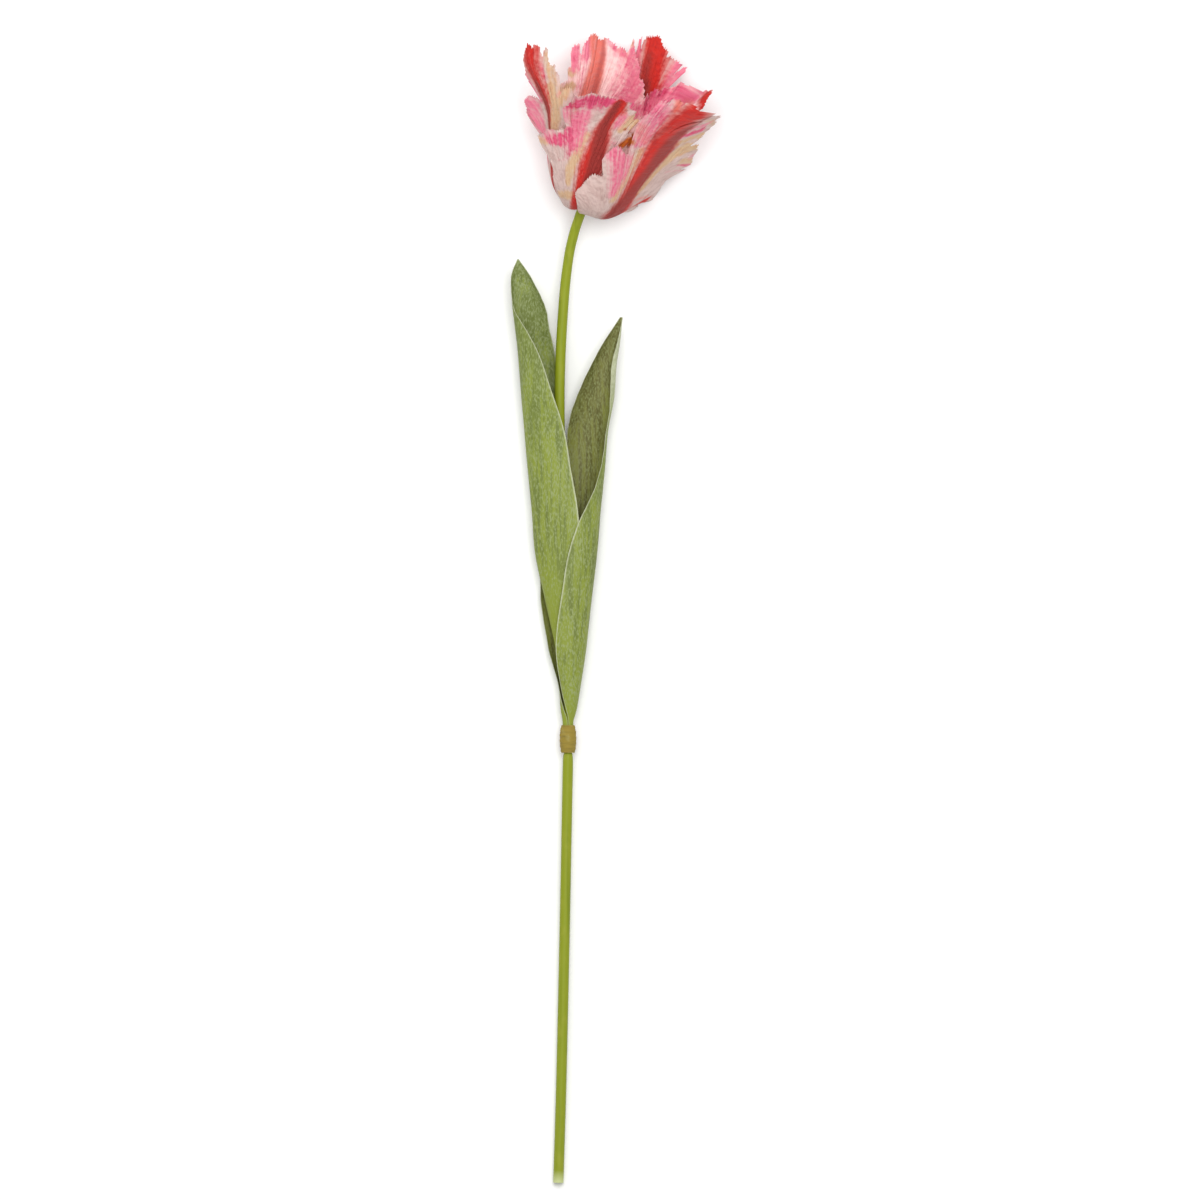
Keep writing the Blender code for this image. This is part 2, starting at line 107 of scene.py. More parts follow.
# Form of each petal, with the values of the solids: foot and azimuth in degrees round the axis,
# midrib as distance from the axis and height in mm, shift of the midrib sideways, layer of its
# left and right side, half widths, how broad the top is, how far the margins leave the cup,
# flare, twist and ruffle. margin: the torn outline from the left foot over the tip to the right
# foot, by turns a place s in thousandths and its reach in hundredths. crimp: where the margin is
# pleated, from and to s, and how high. curls: lobes that bend outwards, as s where it starts
# and ends, reach, and mm.
PETALS = {
    "petal_front_right": dict(
        foot=49, azimuth=58,
        midrib=[(4.8, 0.2), (12, -1.6), (20, 3), (27, 14), (35, 37), (45, 61), (57, 79), (69, 93)],
        layer=(1, 2), left=39, right=38, widest=0.38, square=(0.25, 0.6), lift=(0, 30),
        flare=(-5, -26), ruffle=1.3, waves=4.5, phase=0.3,
        margin=[
            -1000, 100, -800, 100, -700, 94, -630, 96, -590, 92, -560, 88, -510, 87, -485, 85,
            -450, 75, -442, 70, -425, 74, -410, 74, -430, 85, -418, 89, -380, 86, -365, 86,
            -338, 82, -290, 71, -250, 63, -210, 64, -188, 66, -200, 78, -225, 91, -208, 96,
            -195, 99, -185, 104, -177, 111, -137, 109, -112, 108, -68, 107, -37, 103, -30, 98,
            -26, 104, -20, 106, -6, 104, 0, 100, 4, 97, 12, 98, 50, 97, 90, 94, 137, 92, 175, 93,
            190, 88, 200, 82, 213, 83, 223, 77, 242, 72, 270, 78, 285, 84, 330, 86, 373, 89,
            420, 87, 453, 91, 467, 90, 430, 74, 480, 84, 497, 93, 460, 76, 420, 65, 440, 69,
            460, 67, 513, 69, 570, 78, 650, 97, 600, 70, 620, 62, 690, 85, 757, 108, 800, 120,
            860, 120, 930, 110, 1000, 100,
        ],
    ),
    "petal_front_left": dict(
        foot=-16, azimuth=-5,
        midrib=[(4.8, 0.4), (13, 0.5), (23, 9), (30, 24), (34, 40), (37, 56), (43, 74), (51, 90)],
        shift=(0, -1, 0, 3, 9), layer=(1, -1), left=38, right=27, widest=0.46, square=(0.9, 1.2),
        lift=(4, -1), flare=(-1, 0), ruffle=1.2, waves=4.5, phase=1.4, crimp=(-0.24, -0.02, 0.7),
        margin=[
            -1000, 30, -750, 30, -560, 35, -602, 49, -538, 58, -465, 65, -418, 73, -465, 83,
            -513, 97, -527, 108, -442, 92, -410, 91, -378, 86, -335, 80, -293, 78, -235, 75,
            -228, 83, -248, 97, -217, 98, -200, 90, -205, 96, -210, 101, -197, 105, -187, 106,
            -170, 105, -153, 102, -138, 104, -122, 104, -88, 100, -52, 101, -13, 101, -3, 100,
            33, 101, 82, 99, 157, 104, 140, 97, 120, 90, 143, 98, 197, 103, 225, 96, 257, 103,
            267, 98, 262, 86, 307, 94, 347, 88, 330, 76, 400, 84, 500, 90, 550, 80, 600, 95,
            800, 100, 1000, 100,
        ],
    ),
    "petal_left": dict(
        foot=-76, azimuth=-68,
        midrib=[(4.8, 0.3), (12.5, 0.4), (19.5, 9), (26, 25), (31.5, 42), (37, 58), (45, 71),
                (54, 84), (58, 97)],
        shift=(0, 0, 0, -4), layer=(1, -1), left=25, right=26, widest=0.46, square=(1.1, 1.0),
        lift=(2, -2), flare=(2, 0), twist=-35, ruffle=1.2, waves=4, phase=0.5,
        curls=[(-0.17, -0.38, 0.5, 14)],
        margin=[
            -1000, 100, -800, 100, -700, 84, -650, 80, -580, 90, -500, 96, -420, 88, -380, 62,
            -370, 70, -350, 76, -310, 80, -260, 79, -220, 73, -190, 69, -100, 65.5, -108, 69,
            -148, 75, -175, 81, -152, 84, -123, 87, -110, 90, -103, 94, -75, 97, -38, 100, 0, 101,
            30, 101, 38, 98.5, 55, 102, 80, 103, 92, 101, 97, 95, 105, 99, 113, 102, 125, 105,
            138, 104, 143, 101, 160, 96.5, 178, 96, 212, 102, 210, 98, 238, 96, 247, 95, 200, 84,
            185, 81, 162, 75, 200, 79, 255, 87, 328, 102, 357, 107, 362, 103, 302, 89, 227, 74,
            243, 72, 247, 69, 250, 63, 300, 60, 600, 80, 800, 100, 1000, 100,
        ],
    ),
    "petal_back_left": dict(
        foot=-136, azimuth=-152,
        midrib=[(4.8, 0.4), (11, 0.6), (19, 5), (26, 17), (28, 34), (28.5, 55), (31, 74), (39, 96)],
        shift=(0, 0, 0, -5), layer=(-0.6, -1), left=39, right=26, widest=0.5, square=(0.72, 0.7),
        lift=(-0.5, -0.5), flare=(2, 2), ruffle=1.2, waves=4, phase=2.0,
        margin=[
            -1000, 100, -800, 100, -600, 94, -500, 80, -380, 66, -280, 70, -225, 75, -283, 86,
            -308, 93, -290, 94.5, -273, 95, -253, 98, -232, 97, -222, 95, -213, 101, -180, 104,
            -153, 106, -140, 107, -125, 111, -127, 107, -113, 102, -115, 98.5, -95, 99, -77, 98,
            -68, 97, -65, 95, -53, 96, -38, 97, -27, 96, -17, 98, -7, 98, -2, 96, 12, 96, 27, 98,
            53, 100, 82, 100, 103, 98, 127, 97, 140, 96, 137, 93, 115, 88, 77, 84, 142, 90,
            165, 94, 167, 97, 162, 99, 173, 100, 200, 102, 220, 101, 215, 95, 200, 89, 173, 83,
            192, 84, 225, 90, 255, 92, 247, 86, 237, 82, 307, 89, 387, 102, 400, 95, 500, 85,
            600, 95, 700, 90, 800, 100, 1000, 100,
        ],
    ),
    "petal_back_right": dict(
        foot=164, azimuth=152,
        midrib=[(4.8, 0.2), (12, -2), (21, 1.5), (30, 12), (35, 28), (37, 46), (37.5, 66),
                (36, 86), (36, 104)],
        layer=(1, 1), left=25, right=28, widest=0.48, square=(0.8, 1.0), lift=(1, 1),
        flare=(1, 3), ruffle=1.3, waves=4, phase=1.0,
        margin=[
            -1000, 100, -800, 100, -700, 80, -600, 95, -450, 80, -350, 80, -220, 70, -125, 74,
            -152, 79, -165, 85, -168, 88, -167, 93, -160, 94.5, -150, 94.5, -155, 91, -147, 88.5,
            -130, 84, -138, 89, -144, 93, -132, 94, -103, 93, -80, 93, -78, 92, -72, 89, -70, 93,
            -65, 95, -40, 95, -25, 96, -7, 99, 10, 99, 25, 98, 40, 98, 55, 97.5, 73, 98, 87, 96,
            95, 93, 92, 89, 112, 94, 107, 98, 128, 96, 127, 91, 148, 90, 145, 83, 125, 77,
            200, 70, 300, 80, 450, 80, 550, 95, 700, 85, 800, 100, 1000, 100,
        ],
    ),
    "petal_right": dict(
        foot=109, azimuth=110,
        midrib=[(4.8, 0.4), (11, 0.8), (19, 6), (27, 20), (33, 40), (41, 58), (50, 69), (60, 79)],
        layer=(-1, -2), left=30, right=34, widest=0.5, square=(0.5, 0.22), lift=(-1, 0),
        flare=(0, 0), ruffle=1.2, waves=5, phase=0.0, crimp=(-0.02, 0.22, 0.9),
        margin=[
            -1000, 100, -800, 100, -700, 80, -600, 95, -500, 95, -450, 80, -350, 96, -250, 84,
            -200, 96, -120, 100, -60, 105, -28, 106, -10, 103, 0, 98, 1, 90, 3, 98, 7, 98, 20, 97,
            27, 92, 50, 92, 78, 92, 85, 90, 113, 93, 130, 91, 153, 93, 160, 86, 200, 95, 272, 96,
            305, 98, 400, 90, 500, 85, 600, 95, 700, 80, 800, 100, 1000, 100,
        ],
    ),
}

# What a petal has where its form says nothing
PLAIN_PETAL = dict(shift=(0, 0), twist=0, crimp=(0, 0, 0), curls=())
PETALS = {name: PLAIN_PETAL | form for name, form in PETALS.items()}

# Colouring of each petal, as strokes of one colour: strength, and then for every place that the
# stroke runs through, mm across the midrib, hundredths of the length, and half width in mm.
# Strokes of the warm fold colour are partly the cup's own warm inside and partly painted shade in
# its folds and gaps.
COLOURING = {
    "petal_front_right": dict(
        red=[(1, 3, 10, 4, 0, 17, 8, -2, 25, 6.5, -3.5, 35, 6.2, -3, 45, 7.5, -2, 55, 10,
            -2.5, 62, 11.5, -6, 72, 10.5, -8, 82, 11, -10, 92, 11.5, -11, 100, 11, -14, 110, 10),
            (0.9, 2, 10, 4, 10, 15, 5, 18, 19, 4, 25, 22, 3)],
        maroon=[(1, 1, 13, 4, -3, 22, 5, -1, 35, 4.5, 1, 45, 4.5, 2, 52, 5, 2, 60, 6, 0, 70, 5,
            0, 80, 3.5, 0.5, 90, 2.5), (0.4, -7, 20, 2, -8, 30, 1.8), (0.45, -14, 70, 3,
            -13, 82, 3), (0.5, 4, 10, 3, 14, 17, 2)],
        salmon=[(0.5, -17, 66, 3, -22, 70, 5, -27, 77, 5), (0.6, 8, 26, 2, 17, 25, 2),
            (0.8, -21, 95, 2.5, -26, 103, 2.5)],
        magenta=[(0.4, -15, 30, 1.5, -18, 39, 2.5, -22, 47, 3.5, -28, 55, 5), (0.9, -30, 106, 6,
            -36, 103, 5), (0.6, -22, 86, 3, -32, 93, 3), (0.9, 4, 72, 2, 9, 76, 4, 16, 79, 4),
            (0.9, 24, 46.5, 1, 34, 46, 2.5)],
        pink=[(0.75, -15, 30, 2.5, -18, 42, 5, -23, 52, 6.5, -30, 56, 6), (0.8, -19, 66, 5,
            -22, 76, 6, -25, 85, 7, -33, 95, 7), (0.7, 4, 82, 3, 14, 87, 4), (0.6, 30, 54, 3),
            (0.5, 18, 42, 1, 36, 39, 1)],
        cream=[(0.8, -12, 26, 2, -12.5, 40, 2.5, -14, 50, 2.5, -16, 61, 3), (1, 3, 30, 2,
            6, 38, 3, 9, 47, 3.5, 13, 56, 5, 20, 62, 6, 26, 64, 5), (0.9, 26, 50, 4, 31, 50, 4),
            (0.8, 7, 66, 4, 15, 70, 4), (1, 18, 72, 2, 23, 75, 3), (0.6, 8, 91, 4, 16, 88, 4,
            23, 84, 3)],
        orange_and_fold_shade=[(0.8, -24, 64.5, 2.5), (0.8, -33, 69, 2.5)],
    ),
    "petal_front_left": dict(
        red=[(1, -1, 0, 3, -2.5, 20, 2.8, 0, 30, 5, 1.5, 42, 7.5, 1.8, 52, 7.5, 1.5, 62, 6.5,
            1, 70, 5.8, 1, 78, 4.5, 1.8, 85, 4, 3, 90, 5.5, 3, 96, 4.5, 1.5, 102, 3),
            (0.55, -23, 94, 1.5, -18.5, 83, 1.8), (0.7, -27, 79, 1.5)],
        maroon=[(1, 2, 33, 2.5, 4, 45, 4, 3.5, 55, 4, 1.5, 65, 4, 0.3, 73, 3, 0.3, 80, 2.3,
            1, 88, 2, 1, 98, 1.5), (0.3, -16, 18, 1.5, -22, 28, 1.2)],
        salmon=[(0.7, -3, 16, 3, -3, 24, 2), (0.5, 8, 88, 3)],
        magenta=[(1, -22, 88, 4, -17, 92, 6, -11, 93, 6, -5, 96, 4, -2, 99, 3),
            (0.45, -16, 84, 4, -15, 74, 3, -14, 65, 3), (1, -18, 68, 2.5, -17, 60, 4, -22, 56, 5,
            -28, 53, 4), (0.6, -13, 57, 4, -14, 49, 3), (1, 12, 96, 3.5), (0.5, -20, 43, 1,
            -14, 46, 1)],
        pink=[(0.8, -15, 80, 6, -13, 68, 5, -14, 58, 6), (0.6, -8, 88, 4), (0.7, -23, 86, 3,
            -21, 75, 4), (0.7, -30, 56, 6), (0.7, 7, 78, 3, 8, 86, 3), (0.5, -36, 50, 1,
            -44, 47, 1), (0.4, 10, 66, 4)],
        cream=[(1, -9, 32, 2, -10, 42, 3, -8.5, 52, 3, -8.5, 60, 2.8, -7, 68, 2),
            (0.9, -13, 20, 3, -6, 24, 4), (0.9, -32, 50, 3, -42, 47, 3), (0.7, -20, 80, 2,
            -18, 74, 1.5), (0.9, 11, 75, 2, 14, 86, 3, 18, 80, 4, 16, 92, 2)],
        orange_and_fold_shade=[(0.4, -9, 34.5, 2), (0.3, -12, 19, 2, -7, 21, 2), (1, 13.5, 77, 1.3),
            (1, 15.5, 65, 2.5, 19.5, 70, 2.5)],
    ),
    "petal_left": dict(
        red=[(0.9, -3, 0, 1.5, -6, 12, 2.2, -4, 20, 2, -2, 30, 1.6, -0.5, 40, 1.5, -1, 52, 2,
            -0.5, 60, 3, 0, 68, 5, 0, 76, 6.2, -0.3, 85, 7, 0, 93, 7.3, 1, 103, 7.5)],
        maroon=[(1, -0.5, 40, 0.8, -1, 58, 1.8, -1, 65, 3, -1.5, 72, 3, -1, 78, 2.3),
            (0.4, -1, 80, 4, 0, 88, 3), (0.6, -5, 12, 1, -2, 30, 0.8), (0.35, -6, 92, 1.5)],
        salmon=[(0.3, -14, 15, 4, -10, 8, 3)],
        magenta=[(0.6, -9, 70, 1.5, -9.5, 80, 1.5), (0.5, -24, 70, 3), (0.5, 5.5, 72, 1,
            6.8, 84, 1)],
        pink=[(0.9, -7.5, 66, 2.5, -9, 75, 2.5, -9, 84, 2), (0.9, -14, 61, 4, -19, 68, 5,
            -24, 74, 6), (0.7, -17, 56, 7, -10, 42, 4), (0.6, 7, 82, 1.3, 7, 90, 1.2),
            (0.5, 12, 72, 1.2, 24, 84, 1.2), (0.6, -12, 30, 5, -18, 22, 4)],
        cream=[(1, 1.5, 48, 4, 5, 55, 5, 8, 62, 4, 7, 70, 3, 9, 76, 3.5), (0.6, 12, 80, 4,
            12, 88, 4, 9.5, 97, 2.5), (0.9, 11, 68, 3, 18, 76, 4, 26, 84, 4), (0.7, 3, 14, 4,
            12, 20, 4)],
        orange_and_fold_shade=[(0.4, 8, 73, 1.6, 9, 79, 1.6), (0.25, 4, 50, 4, 8, 60, 3)],
    ),
    "petal_back_left": dict(
        red=[(0.5, 0, 0, 3, 0, 30, 2)],
        maroon=[(0.42, -2, 30, 2, -2.5, 50, 2.5, -3, 70, 3.2, -2.5, 80, 2.8, -2, 90, 1.8,
            -0.5, 97, 1.5)],
        # pale: painted light that brightens this back petal, which lies in the shade of the cup.
        pale=[(1, 0, 70, 60, 0, 100, 60)],
        salmon=[(1, 0, 0, 4, 1, 40, 6, 1, 60, 7.5, 0.3, 75, 6.7, 0.3, 85, 5.5, 3, 94, 6,
            5, 100, 6)],
        magenta=[(0.55, -20, 75, 2, -26, 83, 2), (0.5, -18, 88, 2.5, -24, 98, 3),
            (0.5, -7, 95, 3), (0.5, 15.5, 84, 1.2, 15.5, 92, 1.2), (0.5, -15, 69, 2, -24, 73, 2)],
        pink=[(0.85, -22, 70, 6, -24, 85, 7, -20, 93, 6, -25, 100, 5), (0.5, -15, 72, 5,
            -17, 88, 5), (0.7, -13, 95, 5, -6, 98, 3), (0.9, 10, 86, 3, 10, 95, 5),
            (0.8, 14, 80, 2.5, 16.5, 90, 3), (0.5, 9, 70, 3, 10, 80, 3)],
        cream=[(0.9, -12, 95, 2.5, -17, 95, 2), (0.9, -20, 102, 2.5), (1, 14, 70, 3, 22, 67, 4,
            28, 70, 4), (0.9, 16, 78, 3), (0.5, -28, 78, 4)],
        orange_and_fold_shade=[(1, -28, 51, 4), (1, -25, 55, 3)],
    ),
    "petal_back_right": dict(
        red=[(1, 0, 0, 4, -2, 30, 6, -2, 60, 6.5, -2, 75, 7, -1, 85, 7.2, 0, 95, 8, 0, 102, 8)],
        maroon=[(0.9, -1, 55, 2.5, -0.5, 68, 3, 0.5, 74, 3.5), (0.6, 1, 78, 4, 1.5, 88, 3.5),
            (0.3, 1, 93, 3), (0.4, -6, 93, 0.8, -6, 86, 0.8)],
        salmon=[(0.3, -8, 78, 2, -9, 88, 2)],
        magenta=[(0.5, 9, 80, 1.2, 9, 90, 1), (0.5, -12, 80, 1.5, -13.5, 88, 1)],
        pink=[(0.9, 8.5, 78, 3, 9, 90, 2.5, 8.8, 96, 1.5), (1, -12, 76, 4, -13, 90, 3.5)],
        cream=[(0.7, 14, 86, 3), (0.4, 10.5, 95, 1.2)],
        orange_and_fold_shade=[(0.8, 0, 44, 5, 6, 48, 4), (0.35, -9, 84, 2)],
    ),
    "petal_right": dict(
        red=[(0.95, -9, 101, 7, -22, 99, 7), (0.5, 24, 84, 2, 26, 88, 2)],
        maroon=[(0.5, -8, 97, 3)],
        salmon=[(0.7, -5, 88, 5, 0, 80, 4)],
        magenta=[(0.5, -4, 88, 6, 4, 95, 7, 12, 93, 6, 18, 90, 6, 24, 88, 5), (0.6, 20, 76, 5,
            26, 78, 5), (0.4, 14, 82, 4)],
        # pale: painted light that brightens this back petal, which lies in the shade of the cup.
        pale=[(1, 0, 70, 60, 0, 100, 60)],
        pink=[(1, 0, 92, 8, 10, 88, 8, 20, 84, 8, 26, 76, 6)],
        cream=[(0.7, 27, 70, 3)],
        orange_and_fold_shade=[(1, 22, 56, 5), (1, 29, 62, 4)],
    ),
}

# How far the edges of a colour's strokes blend, in half widths
SOFTNESS = {"pink": 1.1, "red": 0.75, "maroon": 0.9}
USUAL_SOFTNESS = 0.55

# Leaves. At each station the leaf is part of an ellipse round the stem: y, the ellipse's centre
# x, its centre's height over the stem's middle, its half width and half depth, and the angles
# of the far and the near margin, in degrees from +X towards +Z.
LEAVES = {
    "leaf_left": [
        (-40, -28.2, 0, 3.7, 3.7, 315, 45), (-22, -28.6, 0.2, 6.5, 5.2, 310, 50),
        (5, -29, 0.4, 12, 7, 300, 60), (33, -28, 0.4, 19, 8.6, 290, 70),
        (58, -26, 0.4, 23, 9.6, 280, 79), (84, -28, 0.3, 23.5, 9.6, 270, 85),
        (107, -31, 0.2, 22.5, 10.4, 268, 87), (130, -36.5, 0.2, 19, 12.4, 282, 92),
        (155, -43, 0.8, 14.5, 10.8, 300, 102), (172, -48, 2, 11.5, 8, 318, 130),
        (184, -51.5, 3, 9.5, 6.4, 345, 172), (196, -55, 3.6, 7, 4.4, 352, 182),
        (203, -56.6, 4, 4.2, 2.4, 356, 184), (207, -57.2, 4.3, 1.9, 1.1, 357, 183),
        (209.8, -57.6, 4.5, 0.2, 0.2, 358, 182),
    ],
    "leaf_right": [
        (-80, -27.6, 0, 2.95, 2.95, -262, 78), (-68, -27.6, 0, 2.95, 2.95, -262, 82),
        (-60, -27.2, 0.2, 4.6, 4.4, -230, 110), (-47, -26.8, 0.4, 6.4, 6, -182, 142),
        (-24, -28.2, 0.6, 11.2, 8.4, -168, 126), (5, -29.2, 0.6, 15.4, 9.9, -160, 100),
        (33, -29, 0.5, 18.6, 10.9, -145, 85), (58, -28.8, 0.5, 20.4, 11.4, -127, 60),
        (84, -22, 0.4, 16.2, 11.4, -108, 30), (107, -16.8, 0.6, 13, 10.4, -150, 18),
        (127, -11.4, 1.4, 11.2, 7.6, -168, 36), (146, -6.4, 2.4, 7.6, 5, -174, 48),
        (160, -1.4, 3.4, 4.8, 3.2, -176, 46), (170, 2.4, 4.2, 2, 1.4, -177, 30),
        (175, 4.4, 4.6, 0.7, 0.6, -178, 8),
    ],
}

# Pistil: radius and height in mm. Stamens: distance out, height and radius in mm
PISTIL_PROFILE = [
    (1.7, 3.4), (2.1, 6), (3, 10), (3.4, 15), (3.2, 20), (2.6, 24), (2.8, 25.5), (4, 27.5),
    (3.2, 29.3), (1.2, 30),
]
STAMEN_PROFILE = [
    (0, 3.5, 0.75), (1.3, 8, 0.85), (2.4, 13, 0.7), (2.8, 14.6, 0.6), (3, 15.4, 1.3),
    (3.6, 18.5, 1.55), (4.2, 22, 1.45), (4.6, 24.6, 1.1), (4.8, 25.6, 0.5),
]
STAMEN_COUNT = 6
STAMEN_FOOT = 3.2 * MM

# Columns and rows of the grids that the blades and the seed pod start from
PETAL_GRID = (840, 42)
LEAF_GRID = (56, 300)
POD_GRID = (72, 60)

# Petals that rise past this height bend over within the room above it
BEND_LEVEL = 100 * MM
BEND_ROOM = 8 * MM

# Turns of the tape from one end of the wrap to the other
TAPE_TURNS = 5

# Stage: side of the floor, strength of the white surround, and the soft lights as place, size
# and power. The camera looks straight down.
FLOOR_SIDE = 40
SURROUND = 0.52
LIGHTS = {
    "key": ((0.15, 0.45, 1.9), 1.2, 25.5),
    "fill": ((-0.8, 0.7, 1.6), 1.6, 8),
}
CAMERA_PLACE = (-0.00992, 0.00453, 1.2)


def colour(name, description, default):
    """A colour that a user can change."""
    return FloatVectorProperty(
        name=name, description=description, default=default, subtype="COLOR", min=0, max=1
    )


def size(name, description, default):
    """A length that a user can change."""
    return FloatProperty(name=name, description=description, default=default, unit="LENGTH")


class StemSettings(PropertyGroup):
    """Stem and wrap."""

    sides: IntProperty(name="Sides", description="Sides of the stem's round section", default=32)
    green: colour("Green", "Main green of the stem", (0.24, 0.285, 0.012))
    dark_green: colour("Dark green", "Green of the stem's streaks", (0.15, 0.20, 0.008))
    pith: colour("Pith", "Inside of the stem at its cut end", (0.55, 0.60, 0.28))
    tape: colour("Tape", "Wrap round the foot of the leaves", (0.29, 0.21, 0.035))


class LeafSettings(PropertyGroup):
    """Both leaves."""

    thickness: size("Thickness", "Thickness of the blades", 0.6 * MM)
    rib_height: size("Rib height", "Height of the ribs along a blade", 0.12 * MM)
    bloom_green: colour("Waxy green", "Pale waxy green of the blades", (0.29, 0.34, 0.15))
    deep_green: colour("Deep green", "Green where the wax is thin", (0.14, 0.175, 0.035))
    yellow_green: colour("Yellow green", "Green of the foot of the blades", (0.24, 0.29, 0.03))


class PetalSettings(PropertyGroup):
    """All six petals."""

    thickness: size("Thickness", "Thickness of the petals", 0.45 * MM)
    pleat_height: size("Pleat height", "Height of the fine pleats along the veins", 0.28 * MM)
    fringe: FloatProperty(
        name="Fringe", description="Depth of the fine teeth, as a share of the petal's length",
        default=0.024, subtype="FACTOR",
    )
    white: colour("White", "Ground colour of the petals", (0.65, 0.48, 0.44))
    cream: colour("Cream", "Warm ground beside the stripe", (0.64, 0.44, 0.27))
    pink: colour("Pink", "Lobes and streaks along the veins", (0.76, 0.22, 0.30))
    magenta: colour("Magenta", "Crimped margins", (0.70, 0.10, 0.20))
    salmon: colour("Salmon", "Stripe of the petal at the back", (0.74, 0.18, 0.14))
    red: colour("Red", "Margins of the stripe", (0.58, 0.028, 0.02))
    maroon: colour("Maroon", "Middle of the stripe", (0.29, 0.033, 0.028))
    # Partly the warm colour of the cup's inside, partly painted shade laid dark in the folds and
    # gaps.
    orange_and_fold_shade: colour("Orange", "Warm glow in the folds", (0.48, 0.12, 0.015))


class HeartSettings(PropertyGroup):
    """Pistil and stamens."""

    pistil: colour("Pistil", "Pale green of the seed pod", (0.48, 0.50, 0.16))
    stigma: colour("Stigma", "Yellow of the pistil's lobes", (0.70, 0.60, 0.25))
    anther: colour("Anther", "Dark heads of the stamens", (0.05, 0.02, 0.05))


class StageSettings(PropertyGroup):
    """Floor, light and camera."""

    floor: colour("Floor", "Pale floor", (0.97, 0.97, 0.97))
    view_width: size("View width", "Width that the camera takes in", 0.72)


class Wire:
    """An output of a node. Sums and products of wires add the Math nodes that work them out."""

    def __init__(self, paint, socket):
        self.paint = paint
        self.socket = socket

    def math(self, operation, *values):
        return self.paint.node("ShaderNodeMath", {"operation": operation}, dict(enumerate(values)))

    def __add__(self, other):
        return self.math("ADD", self, other)

    def __sub__(self, other):
        return self.math("SUBTRACT", self, other)

    def __rsub__(self, other):
        return self.math("SUBTRACT", other, self)

    def __mul__(self, other):
        return self.math("MULTIPLY", self, other)

    __radd__ = __add__
    __rmul__ = __mul__

    def rise(self, low, high):
        """0 below low, 1 above high, and a smooth rise between them."""
        smooth = {"interpolation_type": "SMOOTHSTEP"}
        inputs = {"Value": self, "From Min": low, "From Max": high}
        return self.paint.node("ShaderNodeMapRange", smooth, inputs)


class Paint:
    """A material that is mixed from nodes."""

    def __init__(self, name):
        self.material = bpy.data.materials.new(name)
        self.material.use_nodes = True
        self.tree = self.material.node_tree
        self.skin = self.tree.nodes["Principled BSDF"]

    def node(self, kind, settings=None, inputs=None, output=0):
        """Adds a node, sets it, then gives its sockets their values or wires."""
        node = self.tree.nodes.new(kind)
        for name, value in (settings or {}).items():
            setattr(node, name, value)
        for name, value in (inputs or {}).items():
            self.fill(node.inputs[name], value)
        return Wire(self, node.outputs[output])

    def fill(self, socket, value):
        """Gives a socket a wire, a number, or a colour."""
        if isinstance(value, Wire):
            self.tree.links.new(value.socket, socket)
        elif socket.type == "RGBA":
            socket.default_value = (*value[:3], 1)
        else:
            socket.default_value = value

    def set(self, name, value):
        """Gives a socket of the skin a wire, a number, or a colour."""
        self.fill(self.skin.inputs[name], value)

    def mix(self, first, second, share):
        """A colour between two others."""
        return self.node(
            "ShaderNodeMix", {"data_type": "RGBA"}, {0: share, 6: first, 7: second}, 2
        )

    def attribute(self, name):
        return self.node("ShaderNodeAttribute", {"attribute_name": name}, {}, "Fac")

    def noise(self, where, detail=3):
        inputs = {"Vector": where, "Scale": 1, "Detail": detail}
        return self.node("ShaderNodeTexNoise", {}, inputs)

    def grain(self, *scale):
        """Noise on Object coordinates, scaled along each axis."""
        where = self.node("ShaderNodeTexCoord", {}, {}, "Object")
        return self.noise(self.node("ShaderNodeMapping", {}, {"Vector": where, "Scale": scale}))

    def finish(self, ground, roughness, specular, height, distance, strength=1):
        """Sets the skin's colour, gloss and fine relief, and gives the material."""
        self.set("Base Color", ground)
        self.set("Roughness", roughness)
        self.set("Specular IOR Level", specular)
        relief = {"Height": height, "Distance": distance, "Strength": strength}
        self.set("Normal", self.node("ShaderNodeBump", {}, relief))
        return self.material


def ease(x):
    """Rises smoothly from 0 to 1."""
    x = np.clip(x, 0, 1)
    return x * x * (3 - 2 * x)


def triangle_wave(x):
    """Runs between 0 and 1, 1 at whole numbers and 0 halfway between them."""
    return 2 * np.abs(x - np.floor(x) - 0.5)


def wobble(x, phase):
    """Uneven waves between -1 and 1."""
    waves = np.sin(x + phase) + 0.6 * np.sin(2.3 * x + 1.7 * phase)
    return (waves + 0.35 * np.sin(5.1 * x + 2.9 * phase)) / 1.95


def smooth_line(points, steps):
    """Points of a smooth curve through the given ones, with this many steps to a span."""
    p = np.array(points, float)
    p = np.vstack([2 * p[0] - p[1], p, 2 * p[-1] - p[-2]])
    rows = []
    for a, b, c, d in zip(p, p[1:], p[2:], p[3:]):
        for t in np.arange(steps) / steps:
            bend = (2 * a - 5 * b + 4 * c - d) * t**2 + (3 * b - a - 3 * c + d) * t**3
            rows.append(b + 0.5 * ((c - a) * t + bend))
    return np.array([*rows, p[-2]])


def steps_of(line):
    """Lengths of the steps from each point of a line to the next."""
    return np.linalg.norm(np.diff(line, axis=0), axis=1)


def line_at(line, distances):
    """The points of a line at these distances from its start, and straight on past its end."""
    steps = steps_of(line)
    travelled = np.concatenate([[0], np.cumsum(steps)])
    beyond = np.maximum(distances - travelled[-1], 0)[..., None]
    end = (line[-1] - line[-2]) / steps[-1]
    return np.stack([np.interp(distances, travelled, c) for c in line.T], axis=-1) + beyond * end


def rows_at(line, share):
    """The columns of a line's rows at these shares of the way from the first to the last."""
    at = share * (len(line) - 1)
    return [np.interp(at, np.arange(len(line)), column) for column in line.T]


